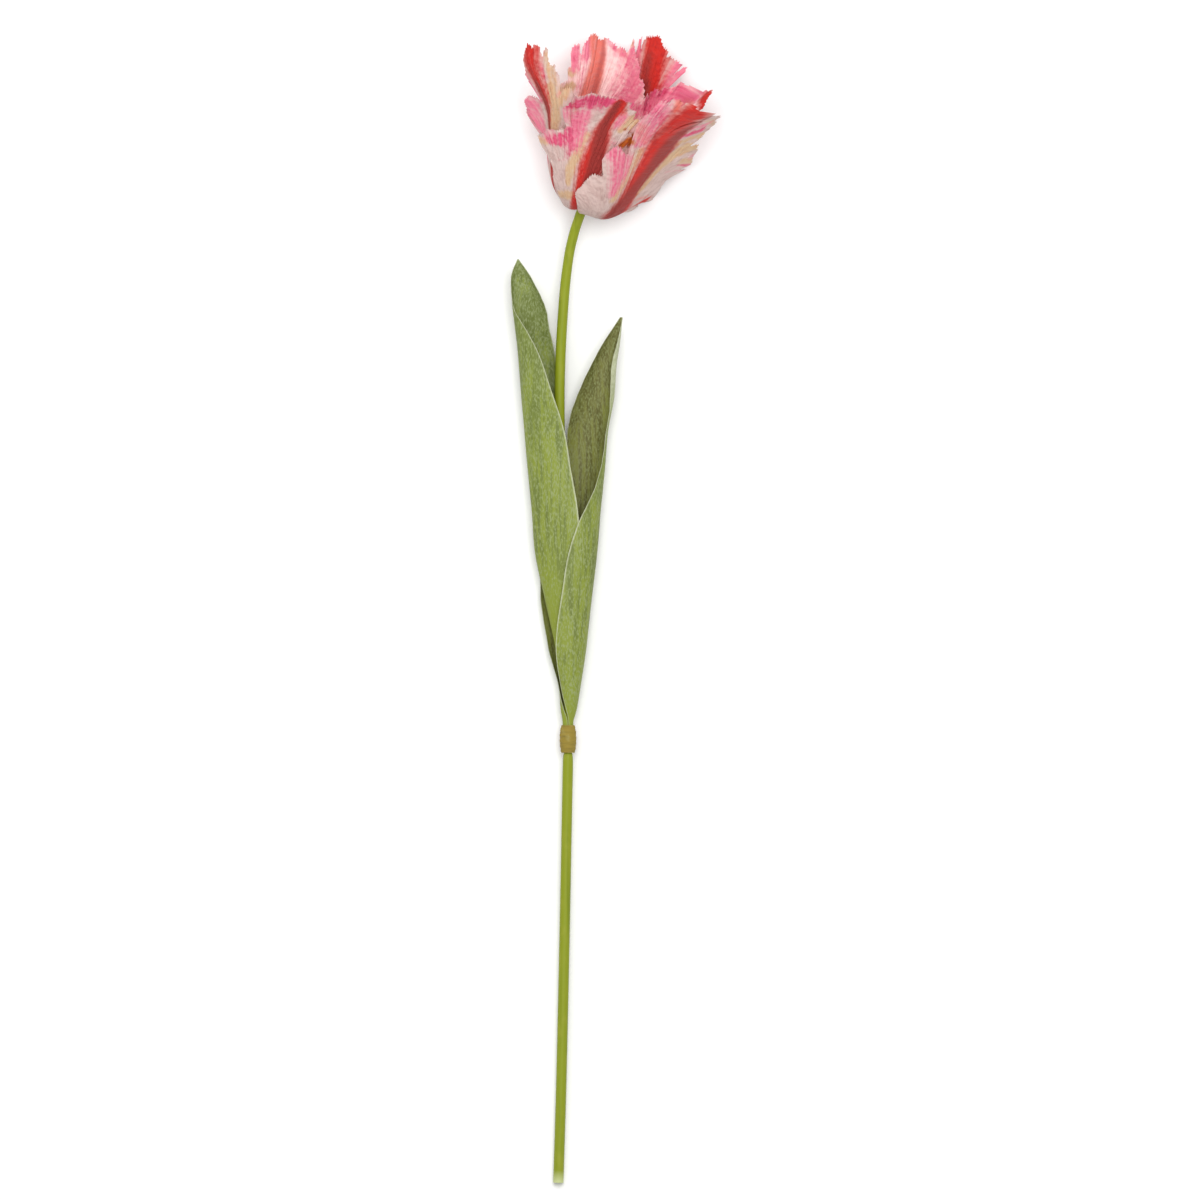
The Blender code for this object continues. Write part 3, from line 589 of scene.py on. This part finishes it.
def bloom_axes():
    """The bloom's own directions: along its axis, towards its top side, and to its right."""
    level = math.cos(BLOOM_LIFT)
    along = (math.sin(BLOOM_LEAN) * level, math.cos(BLOOM_LEAN) * level, math.sin(BLOOM_LIFT))
    along = Vector(along)
    top = (Vector((0, 0, 1)) - along * along.z).normalized()
    return np.array(along), np.array(top), np.array(along.cross(top))


def to_bloom(across, sideways, height):
    """A place given in the bloom's own directions."""
    place = np.array(BLOOM_BASE)
    for amount, direction in zip((height, across, sideways), bloom_axes()):
        place = place + np.asarray(amount)[..., None] * direction
    return place


def cup_side(azimuth, distance):
    """Distance from the axis and height of the cup, this far up its side from the foot."""
    petals = sorted(PETALS.values(), key=lambda petal: petal["azimuth"])
    nodes = np.radians([petal["azimuth"] for petal in petals])
    turn = (azimuth - nodes[0]) % (2 * math.pi) + nodes[0]
    nodes = np.append(nodes, nodes[0] + 2 * math.pi)
    place = np.zeros((*np.shape(turn), 2))
    for k, petal in enumerate(petals + petals[:1]):
        near, here, far = nodes[max(k - 1, 0)], nodes[k], nodes[min(k + 1, len(petals))]
        weight = np.where(turn < here, ease((turn - near) / max(here - near, 1e-9)), 0)
        weight = np.where(turn >= here, ease((far - turn) / max(far - here, 1e-9)), weight)
        place += weight[..., None] * line_at(smooth_line(petal["midrib"], 8) * MM, distance)
    return place


def petal_flat(petal, length, s, t):
    """Flat place of a point on a vein: across the midrib and along it from the foot."""
    half_width = np.where(s < 0, petal["left"], petal["right"]) * MM
    turn = np.abs(s) * MARGIN_SWEEP
    widest = petal["widest"] * length
    low = turn > math.pi / 2
    square = np.take(petal["square"], np.where(s < 0, 0, 1))
    margin_x = np.sign(s) * half_width * np.sin(turn) ** np.where(low, 2, square)
    margin_y = widest + np.where(low, widest, length - widest) * np.cos(turn)
    foot_x = s * FOOT_HALF_WIDTH
    across = foot_x * (1 - t) ** 2 + 0.9 * margin_x * t * (1 - t) + margin_x * t**2
    along = 1.1 * margin_y * t * (1 - t) + margin_y * t**2
    return across, along


def margin_at(petal, column, fringe):
    """Where the vein of a column from -1 to 1 starts and ends: both places s, and its reach."""
    place, reach = (np.reshape(petal["margin"], (-1, 2)) / (1000, 100)).T
    onwards = np.maximum.accumulate(place) + np.minimum.accumulate(place[::-1])[::-1]
    travelled = np.cumsum(np.hypot(np.diff(place), 0.4 * np.diff(reach)))
    travelled = np.concatenate([[0], travelled]) / travelled[-1]
    start = 0.45 * onwards + 0.1 * (2 * travelled - 1)
    along = np.cumsum(np.maximum(np.diff(start), 0))
    along = np.concatenate([[0], along]) / along[-1] + travelled - 1
    start = np.interp(column, along, start)
    before, after = (
        np.array([np.interp(column + step, along, values) for values in (place, reach)])
        for step in (-0.0015, 0.0015)
    )
    ahead, outwards = after - before
    place, reach = (before + after) / 2
    slope = np.hypot(1.2 * ahead, outwards) + 1e-9
    free = 1 - ease((np.abs(place) - 0.72) / 0.2)
    teeth = triangle_wave(column * TEETH + 0.7 * wobble(column * 40, petal["phase"])) - 0.4
    teeth = fringe * free * teeth * (0.75 + 0.35 * wobble(column * 60, 3 * petal["phase"]))
    return start, place + teeth * outwards / slope / 1.2, reach - teeth * 1.2 * ahead / slope


def petal_surface(petal, column, t, settings):
    """Where points of a petal lie in space, and their flat place and share of its length."""
    start, end, reach = margin_at(petal, column, settings.fringe)
    s = start + (end - start) * ease((t - 0.45) / 0.55)
    midrib = smooth_line(petal["midrib"], 8) * MM
    length = steps_of(midrib).sum()
    across, along = petal_flat(petal, length, s, t * reach)
    share = along / length
    span = across / np.where(s < 0, petal["left"], petal["right"]) / MM

    from_axis = line_at(midrib, along)[..., 0]
    drift = (petal["azimuth"] - petal["foot"]) * ease(along / (20 * MM))
    shift = np.interp(share, np.linspace(0, 1, len(petal["shift"])), petal["shift"]) * MM
    twist = np.radians(petal["twist"]) * ease(2 * share - 1)
    middle = np.radians(petal["foot"] + drift) + shift / from_axis
    azimuth = middle + across * np.cos(twist) / from_axis

    left, right = petal["layer"]
    layer = left + (right - left) * ease(0.5 + across / from_axis / math.radians(50))
    side = np.where(s < 0, 0, 1)
    lift = np.take(petal["lift"], side) * np.interp(share, [0.02, 0.15], [0, 1]) * MM
    flare = np.take(petal["flare"], side) * np.interp(share, [0.5, 1], [0, 1]) * MM
    wave = layer + np.sin(2 * math.pi * petal["waves"] * s + petal["phase"])
    ruffle = petal["ruffle"] * MM * (t * reach) ** 3 * np.interp(share, [0.1, 0.6], [0.1, 1])
    out = LAYER_STEP * layer * ease(along / (9 * MM)) + (lift + flare) * span**2
    out = out + ruffle * wave + across * np.sin(twist)
    out = out + petal_relief(petal, s, t, share, settings)
    for near, rim, low, far in petal["curls"]:
        bend = ease((s - near) / (rim - near)) * ease((t * reach - low) / 0.35)
        beyond = (s - rim) * np.sign(rim - near)
        out = out + far * MM * bend * (1 - ease((beyond - 0.02) / 0.06))

    place = cup_side(azimuth, along)
    ahead = cup_side(azimuth, along + 0.5 * MM) - cup_side(azimuth, along - 0.5 * MM)
    ahead /= np.linalg.norm(ahead, axis=-1, keepdims=True)
    from_axis = place[..., 0] + out * ahead[..., 1]
    height = place[..., 1] - out * ahead[..., 0]
    place = to_bloom(from_axis * np.cos(azimuth), from_axis * np.sin(azimuth), height)
    return place, s, across / MM, share


def petal_relief(petal, s, t, share, settings):
    """Fine pleats along the veins, and small curls of the margin."""
    phase = petal["phase"]
    pleats = settings.pleat_height * wobble(s * 95, phase) * ease((share - 0.12) / 0.2)
    curls = 0.8 * MM * wobble(s * 38, 2 * phase) * ease((t - 0.75) / 0.25) * ease(share / 0.5)
    within, wave = crimp(petal, s, t)
    return pleats * ease(t / 0.5) + curls + petal["crimp"][2] * MM * within * wave


def crimp(petal, s, t):
    """Where the margin is pleated, from 0 to 1, and the wave of its pleats."""
    low, high, _ = petal["crimp"]
    within = ease((s - low) / 0.02) * ease((high - s) / 0.02) * ease((t - 0.82) / 0.12)
    return within, np.sin(2 * math.pi * 50 * s + 2 * wobble(s * 60, petal["phase"]))


def strokes(lines, across, share, length, softness):
    """How strongly soft strokes cover each point of a petal, from 0 to 1."""
    cover = np.zeros_like(across)
    for strength, *line in lines:
        line = np.reshape(line[:3] + line, (-1, 3)) / (1, 100, 1) * (1, length, 1)
        for start, end in zip(line, line[1:]):
            way = end[:2] - start[:2]
            x, y = across - start[0], share * length - start[1]
            along = np.clip((x * way[0] + y * way[1]) / max(way @ way, 1e-9), 0, 1)
            far = np.hypot(x - along * way[0], y - along * way[1])
            half_width = start[2] + (end[2] - start[2]) * along
            soft = softness * half_width + 1
            inside = strength * ease(0.5 + 0.5 * (half_width - far) / soft)
            cover = np.maximum(cover, inside)
    return cover


def select_only(obj):
    bpy.ops.object.select_all(action="DESELECT")
    obj.select_set(True)
    bpy.context.view_layer.objects.active = obj


def apply_modifiers(obj):
    select_only(obj)
    for modifier in list(obj.modifiers):
        bpy.ops.object.modifier_apply(modifier=modifier.name)


def new_piece(name, add, **settings):
    """Adds a primitive with its operator, and names it."""
    bpy.ops.object.select_all(action="DESELECT")
    add(**settings)
    obj = bpy.context.object
    obj.name = obj.data.name = name
    return obj


def points_of(obj):
    """The places of a piece's points, a row for each."""
    points = np.zeros(len(obj.data.vertices) * 3)
    obj.data.vertices.foreach_get("co", points)
    return points.reshape(-1, 3)


def move_points(obj, points):
    """Moves a piece's points to these places."""
    obj.data.vertices.foreach_set("co", points.ravel())
    obj.data.update()


def add_grid(name, columns, rows):
    """A grid from -1 to 1 both ways, and its two coordinates."""
    grid = bpy.ops.mesh.primitive_grid_add
    obj = new_piece(name, grid, x_subdivisions=columns, y_subdivisions=rows, size=2)
    across, along, _ = points_of(obj).T
    return obj, across, along


def give_values(obj, values):
    """Stores named numbers on a piece's points."""
    for name, numbers in values.items():
        attribute = obj.data.attributes.new(name, "FLOAT", "POINT")
        attribute.data.foreach_set("value", np.asarray(numbers, np.float32))


def thicken(obj, thickness, body, thin_edge):
    """Gives a sheet its thickness, less towards the margin, where body is 0.

    The new side takes the sheet's second material, if it has one.
    """
    group = obj.vertex_groups.new(name="body")
    for index, weight in enumerate(body):
        group.add([index], float(weight), "REPLACE")
    wall = obj.modifiers.new("wall", "SOLIDIFY")
    wall.thickness = thickness
    wall.offset = 0
    wall.use_even_offset = False
    wall.vertex_group = "body"
    wall.thickness_vertex_group = thin_edge
    wall.material_offset = 1
    apply_modifiers(obj)
    obj.vertex_groups.clear()


def bend_over(height, level, room):
    """Heights that approach level + room instead of rising past it."""
    above = np.maximum(height - level, 0)
    return height - above + room * (1 - np.exp(-above / room))


def keep_above_floor(obj, height=0):
    """Flattens what reaches below this height."""
    points = points_of(obj)
    points[:, 2] = np.maximum(points[:, 2], height)
    move_points(obj, points)


def give_materials(obj, materials):
    for material in materials:
        obj.data.materials.append(material)


def finish_piece(obj, node, materials, angle=50):
    """Smooths a piece, paints it and puts it in the place of its solid."""
    give_materials(obj, materials)
    select_only(obj)
    bpy.ops.object.shade_smooth_by_angle(angle=math.radians(angle))
    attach(obj, "root")
    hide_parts(node)


def merge_points(obj, threshold=0.001 * MM):
    """Opens a piece for editing and merges its doubled points."""
    select_only(obj)
    bpy.ops.object.mode_set(mode="EDIT")
    bpy.ops.mesh.select_all(action="SELECT")
    bpy.ops.mesh.remove_doubles(threshold=threshold)


def turn_outwards():
    """Turns all faces outwards and closes the editing."""
    bpy.ops.mesh.select_all(action="SELECT")
    bpy.ops.mesh.normals_make_consistent(inside=False)
    bpy.ops.object.mode_set(mode="OBJECT")


def round_bar(name, line, sides):
    """A closed round bar along rows of x, y, z and radius, swept along a path."""
    curve = new_piece(name, bpy.ops.curve.primitive_nurbs_path_add).data
    curve.splines.clear()
    path = curve.splines.new("POLY")
    path.points.add(len(line) - 1)
    for point, (x, y, z, radius) in zip(path.points, line):
        point.co = (*(np.array((x, y, z)) - MIDDLE), 1)
        point.radius = radius / MM
    curve.bevel_depth = MM
    curve.bevel_resolution = sides // 2 - 2
    curve.use_fill_caps = True
    bpy.ops.object.convert(target="MESH")
    obj = bpy.context.object
    obj.data.name = name
    merge_points(obj)
    turn_outwards()
    return obj


def petal_paint(settings):
    """White petals under strokes of colour that fray into streaks along the veins."""
    paint = Paint("petal")
    vein = paint.attribute("vein")
    share = paint.attribute("share")

    def streaks(across, along, depth, detail=3):
        where = {0: vein * across, 1: share * along, 2: depth}
        return paint.noise(paint.node("ShaderNodeCombineXYZ", {}, where), detail)

    fine, broad = streaks(80, 4, 0), streaks(26, 3, 4, 2)
    mottle, crinkle = streaks(14, 12, 9), streaks(40, 42, 2)
    fray = (fine - 0.5) * 0.7 + (broad - 0.5) * 1.1 + (crinkle - 0.5) * 0.8

    # Painted shade: the white turns grey pink in the crinkles of the petal.
    painted_crinkle_shade = (mottle * 0.5 + crinkle * 0.5).rise(0.42, 0.62)
    ground = paint.mix(settings.white, (0.46, 0.29, 0.26), painted_crinkle_shade * 0.6)
    # Each colour's shade in its streaks, how far it frays, and the cover that it starts from
    for name, hue, shade, frayed, low in (
        # pale: painted light that brightens the back petals lying in the shade of the cup.
        ("pale", (0.90, 0.63, 0.61), (0.86, 0.52, 0.52), 0, 0.2),
        ("cream", settings.cream, (0.60, 0.33, 0.20), 1, 0.2),
        ("pink", settings.pink, (0.72, 0.15, 0.25), 0.9, 0.12),
        ("magenta", settings.magenta, (0.56, 0.05, 0.12), 1.1, 0.25),
        # The cup's warm colour, laid dark as painted shade in the folds and gaps.
        ("orange_and_fold_shade", settings.orange_and_fold_shade, settings.maroon, 0.3, 0.2),
        ("salmon", settings.salmon, (0.66, 0.24, 0.22), 0.3, 0.2),
        ("red", settings.red, (0.44, 0.02, 0.02), 0.5, 0.2),
        ("maroon", settings.maroon, (0.36, 0.04, 0.035), 0.5, 0.1),
    ):
        cover = paint.attribute(name)
        cover = cover + fray * frayed * (0.3 + cover * 0.9)
        # Each colour turns to its darker tone along the vein streaks and, as painted shade, in the
        # crinkles.
        streaked = paint.mix(hue, shade, (fine * 0.4 + crinkle * 0.6).rise(0.42, 0.66) * 0.8)
        ground = paint.mix(ground, streaked, cover.rise(low, low + 0.65))
    # Painted shade: darker magenta in the valleys between the crimped pleats.
    ground = paint.mix(ground, (0.50, 0.035, 0.12), paint.attribute("fold") * 0.45)
    # Painted light: the petals glow faintly in their own colour, standing in for light that shines
    # through them.
    paint.set("Emission Color", ground)
    paint.set("Emission Strength", 0.06)
    relief = fine + broad * 0.6 + crinkle * 1.2 + mottle * 0.6
    return paint.finish(ground, 0.48 + fine * 0.25, 0.16, relief, 0.7 * MM)


def leaf_paint(name, settings, pale, deep, wax, brown=0):
    """Green streaked along the blade, with a grainy waxy bloom over it, brown patches of painted
    shade where brown is given, and a pale rim of painted highlight.
    """
    paint = Paint(name)
    along = paint.attribute("along")
    streaks, grains = paint.grain(520, 28, 520), paint.grain(1300, 420, 1300)
    blots = paint.grain(90, 16, 90)
    ground = paint.mix(deep, pale, (streaks * 0.5 + grains * 0.4 + blots * 0.2).rise(0.42, 0.62))
    yellow = (streaks + blots - along * 0.5).rise(0.65, 0.95)
    ground = paint.mix(ground, settings.yellow_green, yellow * 0.7)
    bloom = (grains * 0.9 + blots * 0.2).rise(0.50, 0.70)
    ground = paint.mix(ground, settings.bloom_green, bloom * wax)
    foot = (along + (streaks - 0.5) * 0.2).rise(0.06, 0.22)
    ground = paint.mix(settings.yellow_green, ground, foot)
    # Painted shade: brown patches, given only to the darker copy for the inside of the right leaf.
    shade = (blots + streaks * 0.5).rise(0.5, 0.9)
    ground = paint.mix(ground, (0.17, 0.14, 0.05), shade * brown)
    # Painted highlight: a pale rim where the margin catches the light; on the right leaf it widens
    # over the curled edge.
    rim = paint.attribute("edge").rise(0.97, 1)
    ground = paint.mix(ground, (0.56, 0.58, 0.42), rim * (grains * 0.8 + 0.3))
    relief = streaks + grains * 0.5
    return paint.finish(ground, 0.42 + grains * 0.3, 0.28, relief, 0.3 * MM, 0.7)


def stem_paint(settings):
    """Fresh green with faint lengthwise streaks, and pale pith where it is cut."""
    paint = Paint("stem")
    streaks, spots = paint.grain(420, 14, 420), paint.grain(160, 90, 160)
    ground = paint.mix(settings.green, settings.dark_green, streaks.rise(0.5, 0.75) * 0.6)
    ground = paint.mix(ground, (0.33, 0.34, 0.04), spots.rise(0.5, 0.75) * 0.4)
    ground = paint.mix(ground, settings.pith, paint.attribute("cut"))
    relief = streaks + spots * 0.3
    return paint.finish(ground, 0.36 + spots * 0.3, 0.25, relief, 0.25 * MM, 0.6)


def tape_paint(settings):
    """Olive-brown paper tape with creases along its turns."""
    paint = Paint("tape")
    creases, blots = paint.grain(120, 700, 120), paint.grain(200, 200, 200)
    # Painted shade: the tape darkens along its creases.
    ground = paint.mix(settings.tape, (0.16, 0.13, 0.03), creases.rise(0.45, 0.75) * 0.7)
    ground = paint.mix(ground, (0.40, 0.36, 0.14), blots.rise(0.5, 0.75) * 0.5)
    return paint.finish(ground, 0.55 + blots * 0.3, 0.2, creases + blots, 0.3 * MM, 0.8)


def heart_paint(name, low, high, split, grain):
    """A colour that turns to another along the piece, with a fine grain."""
    paint = Paint(name)
    speck = paint.grain(900, 900, 900)
    share = paint.attribute("share")
    ground = paint.mix(low, high, share.rise(split - 0.04, split + 0.04))
    ground = paint.mix(ground, [c * 0.6 for c in high], speck.rise(0.5, 0.7) * grain)
    return paint.finish(ground, 0.5 + speck * 0.4, 0.5, speck, 0.2 * MM, 0.8)


def heights(obj):
    """Each point's share of the piece's length along the bloom's axis."""
    along = (points_of(obj) + MIDDLE - BLOOM_BASE) @ bloom_axes()[0]
    return (along - along.min()) / np.ptp(along)


class TULIP_OT_stem(Operator):
    """Build the stem with its cut end"""

    bl_idname = "tulip.stem"
    bl_label = "Stem"

    def execute(self, context):
        settings = context.scene.tulip_stem
        stem = round_bar("stem_skin", smooth_line(STEM_LINE, 8) * MM, settings.sides)
        keep_above_floor(stem)
        y = points_of(stem)[:, 1]
        give_values(stem, {"cut": y < y.min() + 0.2 * MM})
        finish_piece(stem, "stem", [stem_paint(settings)], 60)
        return {"FINISHED"}


class TULIP_OT_wrap(Operator):
    """Build the wrap of tape round the foot of the leaves"""

    bl_idname = "tulip.wrap"
    bl_label = "Wrap"

    def execute(self, context):
        start, end = (Vector(p) * MM - Vector(MIDDLE) for p in WRAP_ENDS)
        length = (end - start).length
        circle = bpy.ops.mesh.primitive_circle_add
        wrap = new_piece("wrap_of_tape", circle, vertices=4, radius=MM)
        outline = [*smooth_line(WRAP_OUTER, 6), *WRAP_INNER]
        ring = [(r * MM, 0, h * length) for h, r in outline]
        wrap.data.clear_geometry()
        wrap.data.from_pydata(ring, [(k, (k + 1) % len(ring)) for k in range(len(ring))], [])
        merge_points(wrap)
        bpy.ops.mesh.spin(steps=64, angle=2 * math.pi, center=(0, 0, 0), axis=(0, 0, 1))
        bpy.ops.mesh.select_all(action="SELECT")
        bpy.ops.mesh.remove_doubles(threshold=0.01 * MM)
        turn_outwards()
        turn = (end - start).to_track_quat("Z", "Y")
        for vertex in wrap.data.vertices:
            x, y, z = vertex.co
            spiral = math.atan2(y, x) + z / length * TAPE_TURNS * 2 * math.pi
            fold = 0.12 * math.sin(spiral) + 0.06 * math.sin(3 * spiral + 1)
            if math.hypot(x, y) > 4 * MM and 0.02 < z / length < 0.98:
                x, y = (c * (1 + fold * MM / math.hypot(x, y)) for c in (x, y))
            vertex.co = turn @ Vector((x, y, z)) + start
        finish_piece(wrap, "stem_wrap", [tape_paint(context.scene.tulip_stem)], 60)
        return {"FINISHED"}


class TULIP_OT_leaves(Operator):
    """Build the two channelled leaves"""

    bl_idname = "tulip.leaves"
    bl_label = "Leaves"

    def execute(self, context):
        settings = context.scene.tulip_leaf
        green = settings.deep_green
        outside = leaf_paint("leaf_outside", settings, (0.185, 0.23, 0.045), green, 0.75)
        inside_left = leaf_paint("leaf_inside", settings, (0.20, 0.24, 0.08), green, 0.85)
        # Painted shade: the inside of the right leaf takes a darker, browner copy of the leaf
        # paint.
        shaded_inside_right = leaf_paint(
            "leaf_shaded", settings, (0.18, 0.195, 0.05), (0.10, 0.10, 0.02), 0.5, 0.35
        )
        # The paints of the grid's own side and of the side that its thickness adds
        sides = {"leaf_left": [outside, inside_left], "leaf_right": [shaded_inside_right, outside]}
        _, stem_y, stem_z, _ = np.array(STEM_LINE).T
        for name, stations in LEAVES.items():
            leaf, across, along = add_grid(f"{name}_blade", *LEAF_GRID)
            line = smooth_line(stations, 12)
            share = (along + 1) / 2
            y, x, z, half_width, half_depth, far, near = rows_at(line, share)
            z = z + np.interp(y, stem_y, stem_z)
            angle = np.radians(far + (near - far) * (across + 1) / 2)
            cos, sin = np.cos(angle), np.sin(angle)
            ribs = settings.rib_height / MM * np.sin(across * 62) * (1 - np.abs(across) ** 6)
            ribs = ribs * ease(half_width / 12)
            ruffle = 0.5 * wobble(share * 34, half_width[0]) * ease((np.abs(across) - 0.7) / 0.3)
            ruffle = ruffle * ease(half_width / 16)
            grow = 1 + (ribs + ruffle) / np.hypot(half_width * cos, half_depth * sin)
            points = (x + half_width * grow * cos, y, z + half_depth * grow * sin)
            move_points(leaf, np.stack(points, axis=-1) * MM - MIDDLE)
            keep_above_floor(leaf, settings.thickness / 2)
            # The pale rim of painted highlight widens over the right leaf's curled edge.
            curled = (name == "leaf_right") * ease((share - 0.55) / 0.25) * (across > 0)
            curled = curled * ease((np.degrees(angle) + 14) / 14)
            edge = np.maximum(np.abs(across), 0.97 + 0.024 * curled)
            give_values(leaf, {"along": share, "edge": edge})
            give_materials(leaf, sides[name])
            thicken(leaf, settings.thickness, 1 - ease((np.abs(across) - 0.8) / 0.2), 0.35)
            finish_piece(leaf, name, [], 60)
        return {"FINISHED"}


class TULIP_OT_petals(Operator):
    """Build the six ragged petals"""

    bl_idname = "tulip.petals"
    bl_label = "Petals"

    def execute(self, context):
        settings = context.scene.tulip_petal
        skin = petal_paint(settings)
        for number, (name, petal) in enumerate(PETALS.items()):
            obj, column, along = add_grid(f"{name}_blade", *PETAL_GRID)
            t = ((along + 1) / 2) ** 1.1
            points, s, across, share = petal_surface(petal, column, t, settings)
            points[:, 2] = bend_over(points[:, 2], BEND_LEVEL, BEND_ROOM)
            move_points(obj, points - MIDDLE)
            keep_above_floor(obj, settings.thickness / 2)
            length = steps_of(petal["midrib"]).sum()
            within, wave = crimp(petal, s, t)
            # fold: the valleys of the crimped pleats, which the petal paint darkens as painted
            # shade.
            values = {"vein": s + 3.1 * number, "share": share, "fold": within * ease(-wave)}
            for hue, lines in COLOURING[name].items():
                softness = SOFTNESS.get(hue, USUAL_SOFTNESS)
                values[hue] = strokes(lines, across, share, length, softness)
            give_values(obj, values)
            thicken(obj, settings.thickness, 1 - ease((t - 0.85) / 0.15), 0.4)
            finish_piece(obj, name, [skin], 70)
        return {"FINISHED"}


class TULIP_OT_heart(Operator):
    """Build the pistil and the six stamens"""

    bl_idname = "tulip.heart"
    bl_label = "Pistil and stamens"

    def execute(self, context):
        settings = context.scene.tulip_heart
        green = heart_paint("pistil", settings.pistil, settings.stigma, 0.86, 0.3)
        dark = heart_paint("stamen", (0.32, 0.30, 0.16), settings.anther, 0.52, 0.5)
        pistil, across, up = add_grid("pistil_pod", *POD_GRID)
        radius, height = rows_at(smooth_line(PISTIL_PROFILE, 8), (up + 1) / 2)
        turn = math.pi * across
        spread = 0.1 + 0.2 * ease((height - 23) / 2)
        r = radius * (1 + spread * np.cos(3 * turn)) * MM
        points = to_bloom(r * np.cos(turn), r * np.sin(turn), height * MM)
        move_points(pistil, points - MIDDLE)
        merge_points(pistil, 0.005 * MM)
        bpy.ops.mesh.select_all(action="DESELECT")
        bpy.ops.mesh.select_non_manifold()
        bpy.ops.mesh.edge_face_add()
        turn_outwards()
        give_values(pistil, {"share": heights(pistil)})
        finish_piece(pistil, "pistil", [green])
        for number in range(1, STAMEN_COUNT + 1):
            turn = 2 * math.pi * (number - 0.5) / STAMEN_COUNT
            line = []
            for out, height, radius in smooth_line(STAMEN_PROFILE, 5):
                far = STAMEN_FOOT + out * MM
                place = to_bloom(far * math.cos(turn), far * math.sin(turn), height * MM)
                line.append((*place, max(radius, 0.3) * MM))
            stamen = round_bar(f"stamen_{number}_anther", line, 14)
            give_values(stamen, {"share": heights(stamen)})
            finish_piece(stamen, f"stamen_{number}", [dark])
        return {"FINISHED"}


class TULIP_OT_stage(Operator):
    """Set the floor, the light and the camera"""

    bl_idname = "tulip.stage"
    bl_label = "Stage"

    def execute(self, context):
        settings = context.scene.tulip_stage
        floor = new_piece("floor", bpy.ops.mesh.primitive_plane_add, size=FLOOR_SIDE)
        paint = Paint("floor")
        shade = [c * 0.985 for c in settings.floor]
        paint.set("Base Color", paint.mix(settings.floor, shade, paint.grain(40, 40, 40)))
        paint.set("Roughness", 0.9)
        give_materials(floor, [paint.material])
        floor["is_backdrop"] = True

        world = context.scene.world = bpy.data.worlds.new("studio")
        world.use_nodes = True
        surround = world.node_tree.nodes["Background"].inputs
        surround["Color"].default_value = (1, 1, 1, 1)
        surround["Strength"].default_value = SURROUND
        for name, (place, side, power) in LIGHTS.items():
            light = new_piece(name, bpy.ops.object.light_add, type="AREA", location=place)
            light.data.size = side
            light.data.energy = power
            light.rotation_euler = (-Vector(place)).to_track_quat("-Z", "Y").to_euler()

        camera = new_piece("camera", bpy.ops.object.camera_add, location=CAMERA_PLACE)
        camera.rotation_euler = (0, 0, 0)
        camera.data.type = "ORTHO"
        camera.data.ortho_scale = settings.view_width
        context.scene.camera = camera
        context.scene.view_settings.view_transform = "Standard"
        return {"FINISHED"}


PIECES = (
    TULIP_OT_stem, TULIP_OT_wrap, TULIP_OT_leaves, TULIP_OT_petals, TULIP_OT_heart,
    TULIP_OT_stage,
)
SETTINGS = {
    "tulip_stem": StemSettings,
    "tulip_leaf": LeafSettings,
    "tulip_petal": PetalSettings,
    "tulip_heart": HeartSettings,
    "tulip_stage": StageSettings,
}


class TULIP_PT_sidebar(Panel):
    """Pieces of the tulip and their settings"""

    bl_label = "Parrot tulip"
    bl_idname = "TULIP_PT_sidebar"
    bl_space_type = "VIEW_3D"
    bl_region_type = "UI"
    bl_category = "Tulip"

    def draw(self, context):
        for piece in PIECES:
            self.layout.operator(piece.bl_idname)
        for name, group in SETTINGS.items():
            box = self.layout.box()
            box.label(text=group.__doc__)
            for setting in group.__annotations__:
                box.prop(getattr(context.scene, name), setting)


def register():
    for group in SETTINGS.values():
        bpy.utils.register_class(group)
    for name, group in SETTINGS.items():
        setattr(bpy.types.Scene, name, PointerProperty(type=group))
    for piece in (*PIECES, TULIP_PT_sidebar):
        bpy.utils.register_class(piece)


def unregister():
    for piece in (TULIP_PT_sidebar, *reversed(PIECES)):
        bpy.utils.unregister_class(piece)
    for name, group in SETTINGS.items():
        delattr(bpy.types.Scene, name)
        bpy.utils.unregister_class(group)


def main():
    register()
    bpy.ops.tulip.stem()
    bpy.ops.tulip.wrap()
    bpy.ops.tulip.leaves()
    bpy.ops.tulip.petals()
    bpy.ops.tulip.heart()
    bpy.ops.tulip.stage()
    sizes = {"solids": SOLID_BOX, "looks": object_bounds()}
    sizes = {name: [list(corner) for corner in box] for name, box in sizes.items()}


if __name__ == "__main__":
    main()
